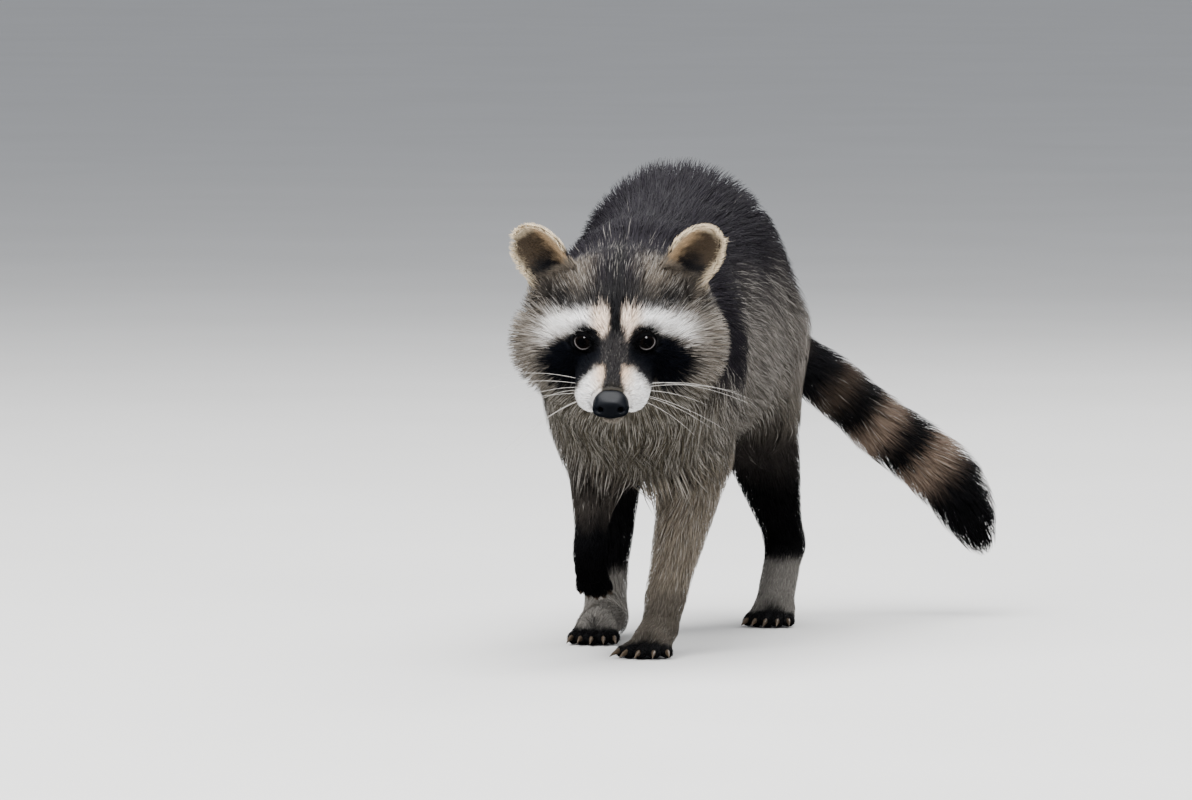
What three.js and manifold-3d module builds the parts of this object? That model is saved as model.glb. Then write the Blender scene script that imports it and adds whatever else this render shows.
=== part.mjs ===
// A life-size raccoon walking with its right forepaw lifted, as a still museum model.
//
// Millimetres, +Z up. The animal faces -Y and its left side is +X. It is drawn out to the tips of
// its coat. Each region is a smooth blend of round limbs and ellipsoids about a named skeleton; a
// grid walk turns the blend into triangles, and thin plane cuts part it into named pieces.
import * as THREE from 'three';
import { LoftGeometry } from 'three/addons/geometries/LoftGeometry.js';
import { mergeVertices } from 'three/addons/utils/BufferGeometryUtils.js';
import Module from 'manifold-3d';

const wasm = await Module();
wasm.setup();

const v = (x, y, z) => new THREE.Vector3(x, y, z);

// ---------------------------------------------------------------- driving dimensions
const GAP = 0.4; // width of a parting cut

// Spine: centre, half height and width over height of the trunk at each station.
const SPINE = [
  { at: v(4, -126, 199), r: 78, wide: 0.8 }, // withers and chest
  { at: v(3, -42, 205), r: 85, wide: 0.81 }, // ribs
  { at: v(0, 50, 222), r: 88, wide: 0.8 }, // loins, the highest point of the arched back
  { at: v(0, 104, 215), r: 78, wide: 0.9 }, // croup
];
const CHEST_FUR = { at: v(-1, -130, 152), r: v(54, 56, 46) };
const BELLY_FUR = { at: v(0, 12, 176), r: v(70, 92, 56) };
const NECK = { from: v(4, -140, 212), to: v(3, -190, 201), r: [63, 62] };
const CHEST_PLANE = { at: v(4, -166, 220), normal: v(0, -0.93, 0.36) };
const BELLY_PLANE = { at: v(0, -46, 0), normal: v(0, 1, 0) };
const RUMP_PLANE = { at: v(0, 46, 0), normal: v(0, 1, 0) };

// Head frame: the origin is midway between the eyes and -y runs down the bridge of the nose.
const HEAD = { at: v(6.5, -262, 208), yaw: 6, pitch: 14 };
const EYE = { at: v(19, 2.6, -1), r: 7.8, opening: 0.5 };
const NOSE = { at: v(0, -57.5, -24), r: v(11.5, 9, 9.5), opening: 0.5 };
const CRANIUM = [
  { at: v(0, 45, 6), r: v(45, 45, 37) }, // crown
  { at: v(0, 20, 6), r: v(30, 24, 21) }, // forehead
  { at: v(0, 42, -36), r: v(42, 34, 27) }, // throat
];
const CHEEKS = [
  { at: v(28, 28, -12), r: v(25, 26, 25) }, // cheekbone
  { at: v(42, 43, -14), r: v(28, 24, 33) }, // ruff
  { at: v(20, 7, -2), r: v(13, 11.5, 12.5) }, // rim of the eye socket
  { at: v(46, 47, 17), r: v(11.5, 12, 12) }, // in front of the ear's outer base
];
const BROW = { from: v(9, 7, 12), to: v(27, 13, 12), r: [7, 9] };
const BRIDGE = { from: v(0, 10, 0), to: v(0, -50, -19), r: [12, 10] };
const LIP = { from: v(12, -4, -21), to: v(11.8, -45.5, -21.4), r: [13, 11.4] };
const JAW = { from: v(0, -4, -31), to: v(0, -40, -34.5), r: [14, 7.8] };
const MUZZLE_PLANE = { at: v(0, -14, 0), normal: v(0, -1, 0) };
const MOUTH_PLANE = { at: v(0, -40, -35.5), normal: v(0, 0.07, 1) };
const NAPE_PLANE = { at: v(0, 52, -11), normal: v(0, -0.919, 0.396) };
const EAR = {
  root: v(40.5, 46.5, 34), // middle of the base, just under the coat of the crown
  axis: v(0.59, 0.06, 0.8), // from the root to the far end
  across: v(0.8, 0.08, -0.59), // from the inner edge to the outer
  turn: 12, // degrees that the cup is turned outwards
  length: 35,
  sunk: 11,
  half: 18.5, // half its greatest width
  cup: 12, // how deep it is scooped
  wall: 5,
  rim: 2.6,
};

// Legs from the trunk down: each joint and the radius there, out to the coat.
const LEFT_FORE = {
  shoulder: [v(34, -122, 184), 30],
  elbow: [v(33, -94, 122), 23],
  wrist: [v(18, -127, 36), 12.5],
  heel: [v(15, -131, 17), 11],
  palm: [v(12, -143, 11), 12.5],
  heading: -8, // degrees that the toes turn from straight ahead
};
const RIGHT_FORE = {
  shoulder: [v(-28, -128, 184), 30],
  elbow: [v(-28, -118, 124), 17.5],
  wrist: [v(-26, -158, 72), 9.5],
  heel: [v(-27, -154, 64), 9],
  palm: [v(-28, -143, 55), 9.5],
  hang: 143, // degrees that the paw is turned back under the wrist
};
const LEFT_HIND = {
  hip: [v(40, 104, 196), 40],
  knee: [v(46, 74, 142), 30],
  hock: [v(54, 158, 58), 12.5],
  heel: [v(55, 160, 50), 12.5],
  ball: [v(53, 121, 13), 12.5],
  heading: -3,
};
const RIGHT_HIND = {
  hip: [v(-40, 104, 196), 40],
  knee: [v(-46, 36, 150), 31],
  hock: [v(-43, 14, 36), 13.5],
  heel: [v(-42, 10, 13), 14],
  ball: [v(-40, -40, 11.5), 13],
  heading: 2,
};
// Each leg is parted from the trunk by a tilted box: a corner near the midline, the tilt of its
// inner wall, and how far it runs along Y and up.
const FORE_BOX = { corner: v(11, 0, 104), tilt: 17, up: 122 };
const HIND_BOX = { corner: v(13, 0, 119), tilt: 15, up: 134 };
const LEG_Y = {
  left_fore: [-182, -62],
  right_fore: [-190, -70],
  left_hind: [22, 196],
  right_hind: [-20, 166],
};
const TAIL = [
  { at: v(2, 156, 208), r: 16 },
  { at: v(44, 190, 182), r: 16 },
  { at: v(80, 200, 156), r: 17 },
  { at: v(113, 212, 126), r: 18 },
  { at: v(137, 222, 108), r: 19 },
  { at: v(156, 227, 91), r: 19.5 },
  { at: v(169, 230, 68), r: 15.5 },
  { at: v(177, 232, 49), r: 7 },
];
const TAIL_CUTS = [0.3, 1.6, 3, 4.6]; // where its lengths start, counted in the points above
// Toes: length, radius, degrees between two and the distance between their roots.
const FINGER = { length: 25, r: 5.2, spread: 12, across: 3.2 }; // the standing forepaw
const LIMP_FINGER = { length: 25, r: 4.4, spread: 5, across: 2.4 }; // the lifted forepaw
const TOE = { length: 24, r: 5.4, spread: 7, across: 4.1 }; // the hind feet
const TIP = 0.86; // radius of a toe's tip over that of its root
const SOLE = 0.72; // height of a standing toe's tip over its radius
const CLAW = { length: 11, r: 2.1, sunk: 3.5, hook: 3 };
// Size of the grid cells that turn each region into triangles.
const CELL = {
  trunk: 22, thigh: 17.5, head: 12.5, muzzle: 7.6, limb: 12.5, fore: 7.1, hind: 7.8, tail: 16,
};

// ---------------------------------------------------------------- blended shapes
/** The smaller of two distances, with a fillet about k wide where they are close. */
function blend(a, b, k) {
  const h = Math.max(k - Math.abs(a - b), 0) / k;
  return Math.min(a, b) - h * h * k / 4;
}

/** Distance to a limb whose radius runs from ra at a to rb at b; wide squeezes it along x. */
function limb(a, b, ra, rb, wide = 1) {
  const axis = b.clone().sub(a);
  const length2 = axis.lengthSq();
  return (p) => {
    const t = Math.min(1, Math.max(0, p.clone().sub(a).dot(axis) / length2));
    const q = p.clone().sub(a).addScaledVector(axis, -t);
    const w = Array.isArray(wide) ? wide[0] + (wide[1] - wide[0]) * t : wide;
    return (Math.hypot(q.x / w, q.y, q.z) - ra - (rb - ra) * t) * Math.min(1, w);
  };
}

/** Distance to an ellipsoid, near enough close to its surface. */
function ellipsoid(at, r) {
  return (p) => {
    const q = p.clone().sub(at).divide(r);
    const inner = q.length();
    return inner * (inner - 1) / Math.max(q.divide(r).length(), 1e-9);
  };
}

/** One shape from several, blended in turn. */
const join = (k, ...shapes) => (p) => shapes.reduce((d, shape) => blend(d, shape(p), k), 1e3);

/** A chain of limbs through [point, radius] pairs. */
function chain(k, ...joints) {
  const limbs = joints.slice(1).map(([at, r], i) => limb(joints[i][0], at, joints[i][1], r));
  return join(k, ...limbs);
}

// ---------------------------------------------------------------- from a shape to triangles
/**
 * Walks a grid of cells over the box. Each cell that the surface crosses gets one point, the mean
 * of the crossings of its edges moved onto the surface, and each crossed edge joins four points.
 */
function polygonise(shape, min, max, cell) {
  const lines = ['x', 'y', 'z'].map((k) => {
    const n = Math.ceil((max[k] - min[k]) / cell) + 3;
    const start = (min[k] + max[k]) / 2 - (n - 1) * cell / 2;
    return Array.from({ length: n }, (_, i) => start + i * cell);
  });
  const [nx, ny, nz] = lines.map((l) => l.length);
  const at = (i, j, k) => (k * ny + j) * nx + i;
  const field = new Float32Array(nx * ny * nz);
  const p = v(0, 0, 0);
  for (let k = 0; k < nz; k++) {
    for (let j = 0; j < ny; j++) {
      for (let i = 0; i < nx; i++) {
        const rim = !i || !j || !k || i === nx - 1 || j === ny - 1 || k === nz - 1;
        field[at(i, j, k)] = rim ? cell : shape(p.set(lines[0][i], lines[1][j], lines[2][k]));
      }
    }
  }
  const points = [];
  const index = new Map();
  const reach = cell * 0.7;
  for (let k = 0; k < nz - 1; k++) {
    for (let j = 0; j < ny - 1; j++) {
      for (let i = 0; i < nx - 1; i++) {
        const mean = crossing(field, at, lines, i, j, k);
        if (mean) {
          index.set(at(i, j, k), points.length);
          points.push(settle(shape, mean, reach));
        }
      }
    }
  }
  const faces = [];
  const quad = (a, b, c, d, flip) => {
    const [p0, p1, p2, p3] = [a, b, c, d].map((n) => index.get(n));
    const split = points[p0].distanceTo(points[p2]) < points[p1].distanceTo(points[p3]);
    const two = split ? [p0, p1, p2, p0, p2, p3] : [p0, p1, p3, p1, p2, p3];
    faces.push(...(flip ? two.reverse() : two));
  };
  for (let k = 0; k < nz - 1; k++) {
    for (let j = 0; j < ny - 1; j++) {
      for (let i = 0; i < nx - 1; i++) {
        const here = field[at(i, j, k)] < 0;
        if (j && k && here !== field[at(i + 1, j, k)] < 0) {
          quad(at(i, j - 1, k - 1), at(i, j, k - 1), at(i, j, k), at(i, j - 1, k), !here);
        }
        if (i && k && here !== field[at(i, j + 1, k)] < 0) {
          quad(at(i - 1, j, k - 1), at(i - 1, j, k), at(i, j, k), at(i, j, k - 1), !here);
        }
        if (i && j && here !== field[at(i, j, k + 1)] < 0) {
          quad(at(i - 1, j - 1, k), at(i, j - 1, k), at(i, j, k), at(i - 1, j, k), !here);
        }
      }
    }
  }
  const geometry = new THREE.BufferGeometry().setFromPoints(points);
  geometry.setIndex(faces);
  return solid(geometry);
}

/** The mean point where the twelve edges of a cell cross the surface, or null. */
function crossing(field, at, lines, i, j, k) {
  const mean = v(0, 0, 0);
  let count = 0;
  for (let corner = 0; corner < 8; corner++) {
    const a = [corner & 1, (corner >> 1) & 1, (corner >> 2) & 1];
    for (let axis = 0; axis < 3; axis++) {
      if (a[axis]) continue;
      const b = a.map((n, m) => (m === axis ? 1 : n));
      const fa = field[at(i + a[0], j + a[1], k + a[2])];
      const fb = field[at(i + b[0], j + b[1], k + b[2])];
      if (fa < 0 === fb < 0) continue;
      const t = fa / (fa - fb);
      mean.x += lines[0][i + a[0]] * (1 - t) + lines[0][i + b[0]] * t;
      mean.y += lines[1][j + a[1]] * (1 - t) + lines[1][j + b[1]] * t;
      mean.z += lines[2][k + a[2]] * (1 - t) + lines[2][k + b[2]] * t;
      count++;
    }
  }
  return count ? mean.divideScalar(count) : null;
}

/** Moves a point along the slope of the shape onto its surface, at most as far as reach. */
function settle(shape, start, reach) {
  const p = start.clone();
  const step = 0.05;
  for (let n = 0; n < 4; n++) {
    const d = shape(p);
    const slope = v(
      shape(v(p.x + step, p.y, p.z)) - shape(v(p.x - step, p.y, p.z)),
      shape(v(p.x, p.y + step, p.z)) - shape(v(p.x, p.y - step, p.z)),
      shape(v(p.x, p.y, p.z + step)) - shape(v(p.x, p.y, p.z - step)),
    ).divideScalar(2 * step);
    p.addScaledVector(slope, -d / Math.max(slope.lengthSq(), 0.25));
  }
  return p.sub(start).clampLength(0, reach).add(start);
}

/** A closed three.js geometry as a solid that can be joined and cut. */
function solid(geometry, matrix = new THREE.Matrix4()) {
  const bare = new THREE.BufferGeometry();
  bare.setAttribute('position', geometry.getAttribute('position').clone());
  bare.setIndex(geometry.getIndex());
  const merged = mergeVertices(bare.applyMatrix4(matrix), 1e-4);
  return new wasm.Manifold(new wasm.Mesh({
    numProp: 3,
    vertProperties: new Float32Array(merged.attributes.position.array),
    triVerts: new Uint32Array(merged.index.array),
  }));
}

/** A box from corner to corner, as a cutter. */
function block(min, max) {
  const size = max.clone().sub(min);
  const box = new THREE.BoxGeometry(size.x, size.y, size.z);
  const centre = min.clone().add(max).multiplyScalar(0.5);
  return solid(box, new THREE.Matrix4().makeTranslation(centre.x, centre.y, centre.z));
}

/** What lies on the side of a plane that the normal points to, less half a parting cut. */
function beyond(body, point, normal) {
  const n = normal.clone().normalize();
  return body.trimByPlane(n.toArray(), n.dot(point) + GAP / 2);
}

/** Both sides of a plane: the one that the normal points to, and the other. */
const part = (body, point, normal) => [
  beyond(body, point, normal),
  beyond(body, point, normal.clone().negate()),
];

/** A solid as a named mesh of one material, without the slivers and scraps that a cut leaves. */
function piece(name, body, look) {
  const bodies = body.simplify(0.01).decompose().sort((a, b) => b.volume() - a.volume());
  const mesh = bodies[0].getMesh();
  const geometry = new THREE.BufferGeometry();
  geometry.setAttribute('position', new THREE.BufferAttribute(mesh.vertProperties, 3));
  geometry.setIndex(new THREE.BufferAttribute(mesh.triVerts, 1));
  geometry.computeVertexNormals();
  const made = new THREE.Mesh(geometry, look);
  made.name = name;
  return made;
}

// ---------------------------------------------------------------- materials
const finish = (color, roughness) => new THREE.MeshStandardMaterial({
  color, roughness, metalness: 0, flatShading: true,
});
const LOOK = {
  back: finish(0x4a474b, 0.9),
  flank: finish(0x6b6259, 0.9),
  face: finish(0x8d857c, 0.9),
  pale: finish(0xd8d0c4, 0.9),
  dark: finish(0x2a2524, 0.9),
  eye: finish(0x120c0a, 0.1),
  nose: finish(0x17181c, 0.45),
  claw: finish(0x3a3230, 0.5),
};

// ---------------------------------------------------------------- the animal as shapes
const deg = THREE.MathUtils.degToRad;

const ribcage = join(
  8,
  ...SPINE.slice(1).map((b, i) => {
    const a = SPINE[i];
    return limb(a.at, b.at, a.r, b.r, [a.wide, b.wide]);
  }),
);
const neckShape = limb(NECK.from, NECK.to, NECK.r[0], NECK.r[1]);
const torso = join(
  24,
  ribcage,
  ellipsoid(CHEST_FUR.at, CHEST_FUR.r),
  ellipsoid(BELLY_FUR.at, BELLY_FUR.r),
  neckShape,
);

/** Five toes fanned round a point: where each starts and ends, and its own ahead and up. */
function fan(root, heading, kind, low) {
  return [-2, -1, 0, 1, 2].map((n) => {
    const turn = deg(heading + n * kind.spread);
    const ahead = v(Math.sin(turn), -Math.cos(turn), 0);
    const aside = v(Math.cos(turn), Math.sin(turn), 0);
    const from = root.clone().addScaledVector(aside, n * kind.across);
    const length = kind.length * (1.1 - 0.07 * Math.abs(n) ** 1.5);
    const to = from.clone().addScaledVector(ahead, length);
    from.z = root.z - 2;
    to.z = low;
    return { from, to, ahead, up: v(0, 0, 1), r: kind.r };
  });
}

/** The same toes carried to another place. */
const carried = (digits, matrix) => digits.map(({ from, to, ahead, up, r }) => ({
  r,
  from: from.applyMatrix4(matrix),
  to: to.applyMatrix4(matrix),
  ahead: ahead.transformDirection(matrix),
  up: up.transformDirection(matrix),
}));

const HANGING = new THREE.Matrix4()
  .makeTranslation(...RIGHT_FORE.palm[0].toArray())
  .multiply(new THREE.Matrix4().makeRotationX(deg(RIGHT_FORE.hang)));
const DIGITS = {
  left_fore: fan(LEFT_FORE.palm[0], LEFT_FORE.heading, FINGER, FINGER.r * SOLE),
  right_fore: carried(fan(v(0, 0, 0), 0, LIMP_FINGER, 0), HANGING),
  left_hind: fan(LEFT_HIND.ball[0], LEFT_HIND.heading, TOE, TOE.r * SOLE),
  right_hind: fan(RIGHT_HIND.ball[0], RIGHT_HIND.heading, TOE, TOE.r * SOLE),
};
const foreChain = (leg) => chain(6, leg.shoulder, leg.elbow, leg.wrist, leg.heel, leg.palm);
const hindChain = (leg) => chain(7, leg.hip, leg.knee, leg.hock, leg.heel, leg.ball);
const LIMBS = {
  left_fore: foreChain(LEFT_FORE),
  right_fore: foreChain(RIGHT_FORE),
  left_hind: hindChain(LEFT_HIND),
  right_hind: hindChain(RIGHT_HIND),
};
const tailPoints = TAIL.map(({ at, r }) => [at, r]);
const tailShape = chain(5, ...tailPoints);

const HEAD_FRAME = new THREE.Matrix4()
  .makeTranslation(...HEAD.at.toArray())
  .multiply(new THREE.Matrix4().makeRotationZ(deg(HEAD.yaw)))
  .multiply(new THREE.Matrix4().makeRotationX(deg(HEAD.pitch)));
const TO_HEAD = HEAD_FRAME.clone().invert();

/** Something made once for each side of the head. */
const pair = (make) => [make(1), make(-1)];
const aside = (side, p) => v(side * p.x, p.y, p.z);
const skull = join(
  10,
  ...CRANIUM.map(({ at, r }) => ellipsoid(at, r)),
  ...CHEEKS.flatMap(({ at, r }) => pair((side) => ellipsoid(aside(side, at), r))),
  ...pair((side) => limb(aside(side, BROW.from), aside(side, BROW.to), ...BROW.r)),
);
const snout = join(
  7,
  limb(BRIDGE.from, BRIDGE.to, ...BRIDGE.r),
  ...pair((side) => limb(aside(side, LIP.from), aside(side, LIP.to), ...LIP.r)),
  limb(JAW.from, JAW.to, ...JAW.r),
);
const headOnly = join(7, skull, snout);
/** The head on its neck, in the head's own frame. */
const headShape = (p) => blend(headOnly(p), neckShape(p.clone().applyMatrix4(HEAD_FRAME)), 14);
/** Everything but the length of the tail, in the animal's frame. */
const body = join(16, torso, ...Object.values(LIMBS), chain(5, ...tailPoints.slice(0, 2)));
const whole = (p) => blend(body(p), headOnly(p.clone().applyMatrix4(TO_HEAD)), 14);

// ---------------------------------------------------------------- pieces made on their own
/** A section of the cupped ear at height t along it, 0 at the crown and 1 at the far end. */
function earSection(t, side, grow) {
  const axis = EAR.axis.clone().normalize();
  const flat = EAR.across.clone().addScaledVector(axis, -EAR.across.dot(axis)).normalize();
  const across = flat.applyAxisAngle(axis, deg(EAR.turn));
  const back = axis.clone().cross(across).normalize();
  const wide = 0.3;
  const round = Math.max(0, (t - wide) / (1 - wide)) ** 2.1;
  const narrowing = t < wide ? 0.93 + 0.07 * t / wide : Math.max(0.16, (1 - round) ** 0.5);
  const half = EAR.half * narrowing;
  const centre = EAR.root.clone().addScaledVector(axis, t * EAR.length);
  const point = (u, face) => {
    const wall = EAR.rim + (EAR.wall - EAR.rim) * (1 - u * u) + 2 * grow;
    const scoop = EAR.cup * (1 - u * u) * half / EAR.half;
    const p = centre.clone()
      .addScaledVector(across, u * (half + grow))
      .addScaledVector(back, scoop - EAR.cup * 0.5 + face * wall / 2);
    return v(side * p.x, p.y, p.z);
  };
  const us = [-1, -0.6, 0, 0.6, 1];
  const ring = [...us.map((u) => point(u, 1)), ...us.toReversed().map((u) => point(u, -1))];
  return side > 0 ? ring.reverse() : ring;
}

function ear(side, grow = 0) {
  const heights = [-EAR.sunk / EAR.length, 0.05, 0.35, 0.6, 0.8, 0.93, 1];
  const sections = heights.map((t) => earSection(t, side, grow));
  return solid(new LoftGeometry(sections, { capStart: true, capEnd: true }));
}

/** A ball of one radius, or of three, as a solid. */
function ball(at, r) {
  const matrix = new THREE.Matrix4().makeTranslation(at.x, at.y, at.z).scale(r);
  return solid(new THREE.SphereGeometry(1, 12, 8), matrix);
}

/** A claw on the end of a toe: a cone that hooks down as it runs ahead. */
function claw({ to, ahead, up, r: toe }, grow = 0) {
  const start = to.clone().addScaledVector(ahead, toe * TIP - CLAW.sunk).addScaledVector(up, 0.8);
  const side = up.clone().cross(ahead);
  const sections = [0, 0.5, 1].map((t) => {
    const centre = start.clone()
      .addScaledVector(ahead, CLAW.length * t)
      .addScaledVector(up, -CLAW.hook * t * t);
    const r = CLAW.r * (1 - 0.8 * t) + grow;
    return Array.from({ length: 5 }, (_, n) => centre.clone()
      .addScaledVector(side, 0.75 * r * Math.cos(n * 0.4 * Math.PI))
      .addScaledVector(up, r * Math.sin(n * 0.4 * Math.PI)));
  });
  return solid(new LoftGeometry(sections, { capStart: true, capEnd: true }));
}

// ---------------------------------------------------------------- assembly
const animal = new THREE.Group();
const head = new THREE.Group();
head.applyMatrix4(HEAD_FRAME);
animal.add(head);

// Head: skull, muzzle and lower jaw, with the eyes and nose let into them.
const ears = pair((side) => ear(side));
const back = beyond(
  polygonise(headShape, v(-74, -14, -66), v(74, 80, 48), CELL.head), MUZZLE_PLANE.at,
  MUZZLE_PLANE.normal.clone().negate(),
);
const eyeball = (side, grow) => ball(aside(side, EYE.at), v(1, 1, 1).multiplyScalar(EYE.r + grow));
const skullPiece = beyond(back, NAPE_PLANE.at, NAPE_PLANE.normal)
  .subtract(eyeball(1, EYE.opening))
  .subtract(eyeball(-1, EYE.opening));
const front = beyond(
  polygonise(headShape, v(-34, -66, -56), v(34, -14, 14), CELL.muzzle), MUZZLE_PLANE.at,
  MUZZLE_PLANE.normal,
).subtract(ball(NOSE.at, NOSE.r.clone().addScalar(NOSE.opening)));
const [muzzle, jaw] = part(front, MOUTH_PLANE.at, MOUTH_PLANE.normal);
head.add(piece('head', skullPiece, LOOK.face));
head.add(piece('muzzle', muzzle, LOOK.pale));
head.add(piece('lower_jaw', jaw, LOOK.pale));
head.add(piece('nose', ball(NOSE.at, NOSE.r), LOOK.nose));
const crown = polygonise((p) => headShape(p) - GAP, v(-74, -14, -66), v(74, 80, 48), CELL.head);
for (const [n, name] of ['left', 'right'].entries()) {
  head.add(piece(`eye_${name}`, eyeball(n ? -1 : 1, 0), LOOK.eye));
  head.add(piece(`ear_${name}`, ears[n].subtract(crown), LOOK.pale));
}

/** A box parting a leg from the trunk, in three.js axes turned by the tilt of its inner wall. */
function legBox({ corner, tilt, up }, side, [y0, y1], lower) {
  const frame = new THREE.Matrix4()
    .makeTranslation(side * corner.x, 0, corner.z)
    .multiply(new THREE.Matrix4().makeRotationY(deg(side * tilt)));
  const reach = 120;
  const inner = lower ? -14 : 0;
  const centre = v(side * (reach + inner) / 2, (y0 + y1) / 2, (lower ? -reach : up) / 2);
  const size = v(reach - inner, y1 - y0, lower ? reach : up);
  return { frame, centre, size };
}

/** The box as a solid, swollen all round by grow. */
function boxSolid({ frame, centre, size }, grow) {
  const box = new THREE.BoxGeometry(size.x + 2 * grow, size.y + 2 * grow, size.z + 2 * grow);
  box.translate(centre.x, centre.y, centre.z);
  return solid(box, frame);
}

// Trunk: one solid, less the leg boxes, in four lengths.
const legs = Object.entries(LEG_Y).map(([name, span]) => {
  const side = name.startsWith('left') ? 1 : -1;
  const box = name.endsWith('fore') ? FORE_BOX : HIND_BOX;
  return { name, upper: legBox(box, side, span, false), lower: legBox(box, side, span, true) };
});
const trunk = legs.reduce(
  (rest, leg) => rest.subtract(boxSolid(leg.upper, GAP / 2)).subtract(boxSolid(leg.lower, GAP / 2)),
  polygonise(whole, v(-100, -226, 96), v(100, 210, 320), CELL.trunk),
);

/** A long box whose near face is at a point and whose length runs along a direction. */
function boxAlong(at, direction, half, length) {
  const box = new THREE.BoxGeometry(2 * half, 2 * half, length);
  box.translate(0, 0, length / 2);
  const turn = new THREE.Quaternion().setFromUnitVectors(v(0, 0, 1), direction.clone().normalize());
  return solid(box, new THREE.Matrix4().compose(at, turn, v(1, 1, 1)));
}

/** The point n points along the tail, and the direction there. */
function tailAt(n) {
  const i = Math.min(TAIL.length - 2, Math.floor(n));
  const direction = TAIL[i + 1].at.clone().sub(TAIL[i].at);
  return { at: TAIL[i].at.clone().addScaledVector(direction, n - i), direction };
}

const tailRoot = tailAt(TAIL_CUTS[0]);
const rootBox = boxAlong(
  tailRoot.at.clone().addScaledVector(tailRoot.direction.clone().normalize(), -GAP / 2),
  tailRoot.direction, 22, 90,
);
const tailless = trunk.subtract(rootBox);
const behindHead = beyond(tailless, NAPE_PLANE.at.clone().applyMatrix4(HEAD_FRAME),
  NAPE_PLANE.normal.clone().negate().transformDirection(HEAD_FRAME));
const [neck, behindNeck] = part(behindHead, CHEST_PLANE.at, CHEST_PLANE.normal);
const [behindChest, chest] = part(behindNeck, BELLY_PLANE.at, BELLY_PLANE.normal);
const [rump, belly] = part(behindChest, RUMP_PLANE.at, RUMP_PLANE.normal);
animal.add(piece('neck', neck, LOOK.back));
animal.add(piece('chest', chest, LOOK.flank));
animal.add(piece('belly', belly, LOOK.flank));
animal.add(piece('rump', rump, LOOK.back));

// Tail: one solid parted square to its centreline.
let rest = beyond(
  polygonise(tailShape, v(-20, 130, 36), v(192, 260, 240), CELL.tail),
  tailRoot.at, tailRoot.direction,
);
for (const [n, cut] of [...TAIL_CUTS.slice(1), null].entries()) {
  let length = rest;
  if (cut !== null) {
    const { at, direction } = tailAt(cut);
    [rest, length] = part(rest, at, direction);
  }
  animal.add(piece(`tail_${n + 1}`, length, n % 2 ? LOOK.dark : LOOK.flank));
}

// Legs: the part beside the trunk, the shank down to the wrist or hock, and the foot.
const FLOOR = block(v(-400, -400, 0), v(400, 400, 400));
const ANKLES = {
  left_fore: [LEFT_FORE.elbow, LEFT_FORE.wrist, LEFT_FORE.heel, LEFT_FORE.palm],
  right_fore: [RIGHT_FORE.elbow, RIGHT_FORE.wrist, RIGHT_FORE.heel, RIGHT_FORE.palm],
  left_hind: [LEFT_HIND.knee, LEFT_HIND.hock, LEFT_HIND.heel, LEFT_HIND.ball],
  right_hind: [RIGHT_HIND.knee, RIGHT_HIND.hock, RIGHT_HIND.heel, RIGHT_HIND.ball],
};
const NAMES = {
  fore: ['upper_arm', 'forearm', 'forepaw', 'finger'],
  hind: ['thigh', 'shank', 'foot', 'toe'],
};
for (const { name, upper, lower } of legs) {
  const [side, end] = name.split('_');
  const [top, middle, foot, digit] = NAMES[end];
  const [y0, y1] = LEG_Y[name];
  const beside = (p) => blend(torso(p), LIMBS[name](p), 16);
  const flank = polygonise(beside, v(-100, y0, 84), v(100, y1, 258), CELL.thigh);
  const haunch = flank.intersect(boxSolid(upper, -GAP / 2)).subtract(rootBox);
  animal.add(piece(`${top}_${side}`, haunch, LOOK.back));

  const [above, joint, heel, sole] = ANKLES[name].map(([at]) => at);
  const inward = joint.clone().sub(above).normalize();
  const outward = sole.clone().sub(heel).normalize();
  const bend = inward.add(outward);
  const low = new THREE.Box3().setFromPoints([above, joint, sole]).expandByScalar(34);
  const shank = polygonise(LIMBS[name], low.min, low.max, CELL.limb);
  const cut = beyond(shank, joint, bend.clone().negate());
  animal.add(piece(`${middle}_${side}`, cut.intersect(boxSolid(lower, -GAP / 2)), LOOK.flank));

  const digits = DIGITS[name];
  const toes = digits.map((d) => limb(d.from, d.to, d.r, d.r * TIP));
  const pawShape = (p) => blend(LIMBS[name](p), join(2, ...toes)(p), 5);
  const room = new THREE.Box3().setFromPoints([joint, heel, sole, ...digits.map((d) => d.to)]);
  room.expandByScalar(15);
  room.min.z = Math.max(room.min.z, -5);
  let paw = beyond(polygonise(pawShape, room.min, room.max, CELL[end]), joint, bend);
  paw = paw.intersect(FLOOR);
  digits.forEach((d, n) => {
    paw = paw.subtract(claw(d, GAP));
    animal.add(piece(`${digit}_claw_${n + 1}_${side}`, claw(d), LOOK.claw));
  });
  animal.add(piece(`${foot}_${side}`, paw, LOOK.pale));
}

// The origin is on the floor under the middle of the whole animal.
const bounds = new THREE.Box3().setFromObject(animal, true);
const middle = bounds.getCenter(v(0, 0, 0));
animal.position.set(-middle.x, -middle.y, 0);
export default animal;
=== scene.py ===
"""A life-size raccoon walking with its right forepaw lifted, and the stage it stands on.

Shapes are worked out in millimetres about a skeleton whose ground is z = 0. The animal faces -Y and
its left side is +X. A shape is a function that gives, for an array of points, the distance to a
surface, negative inside. The skin is where the bare animal's distance is nought, and each tuft of
the coat grows from it and ends near the coat's own outline.
"""
import functools
import math

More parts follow.
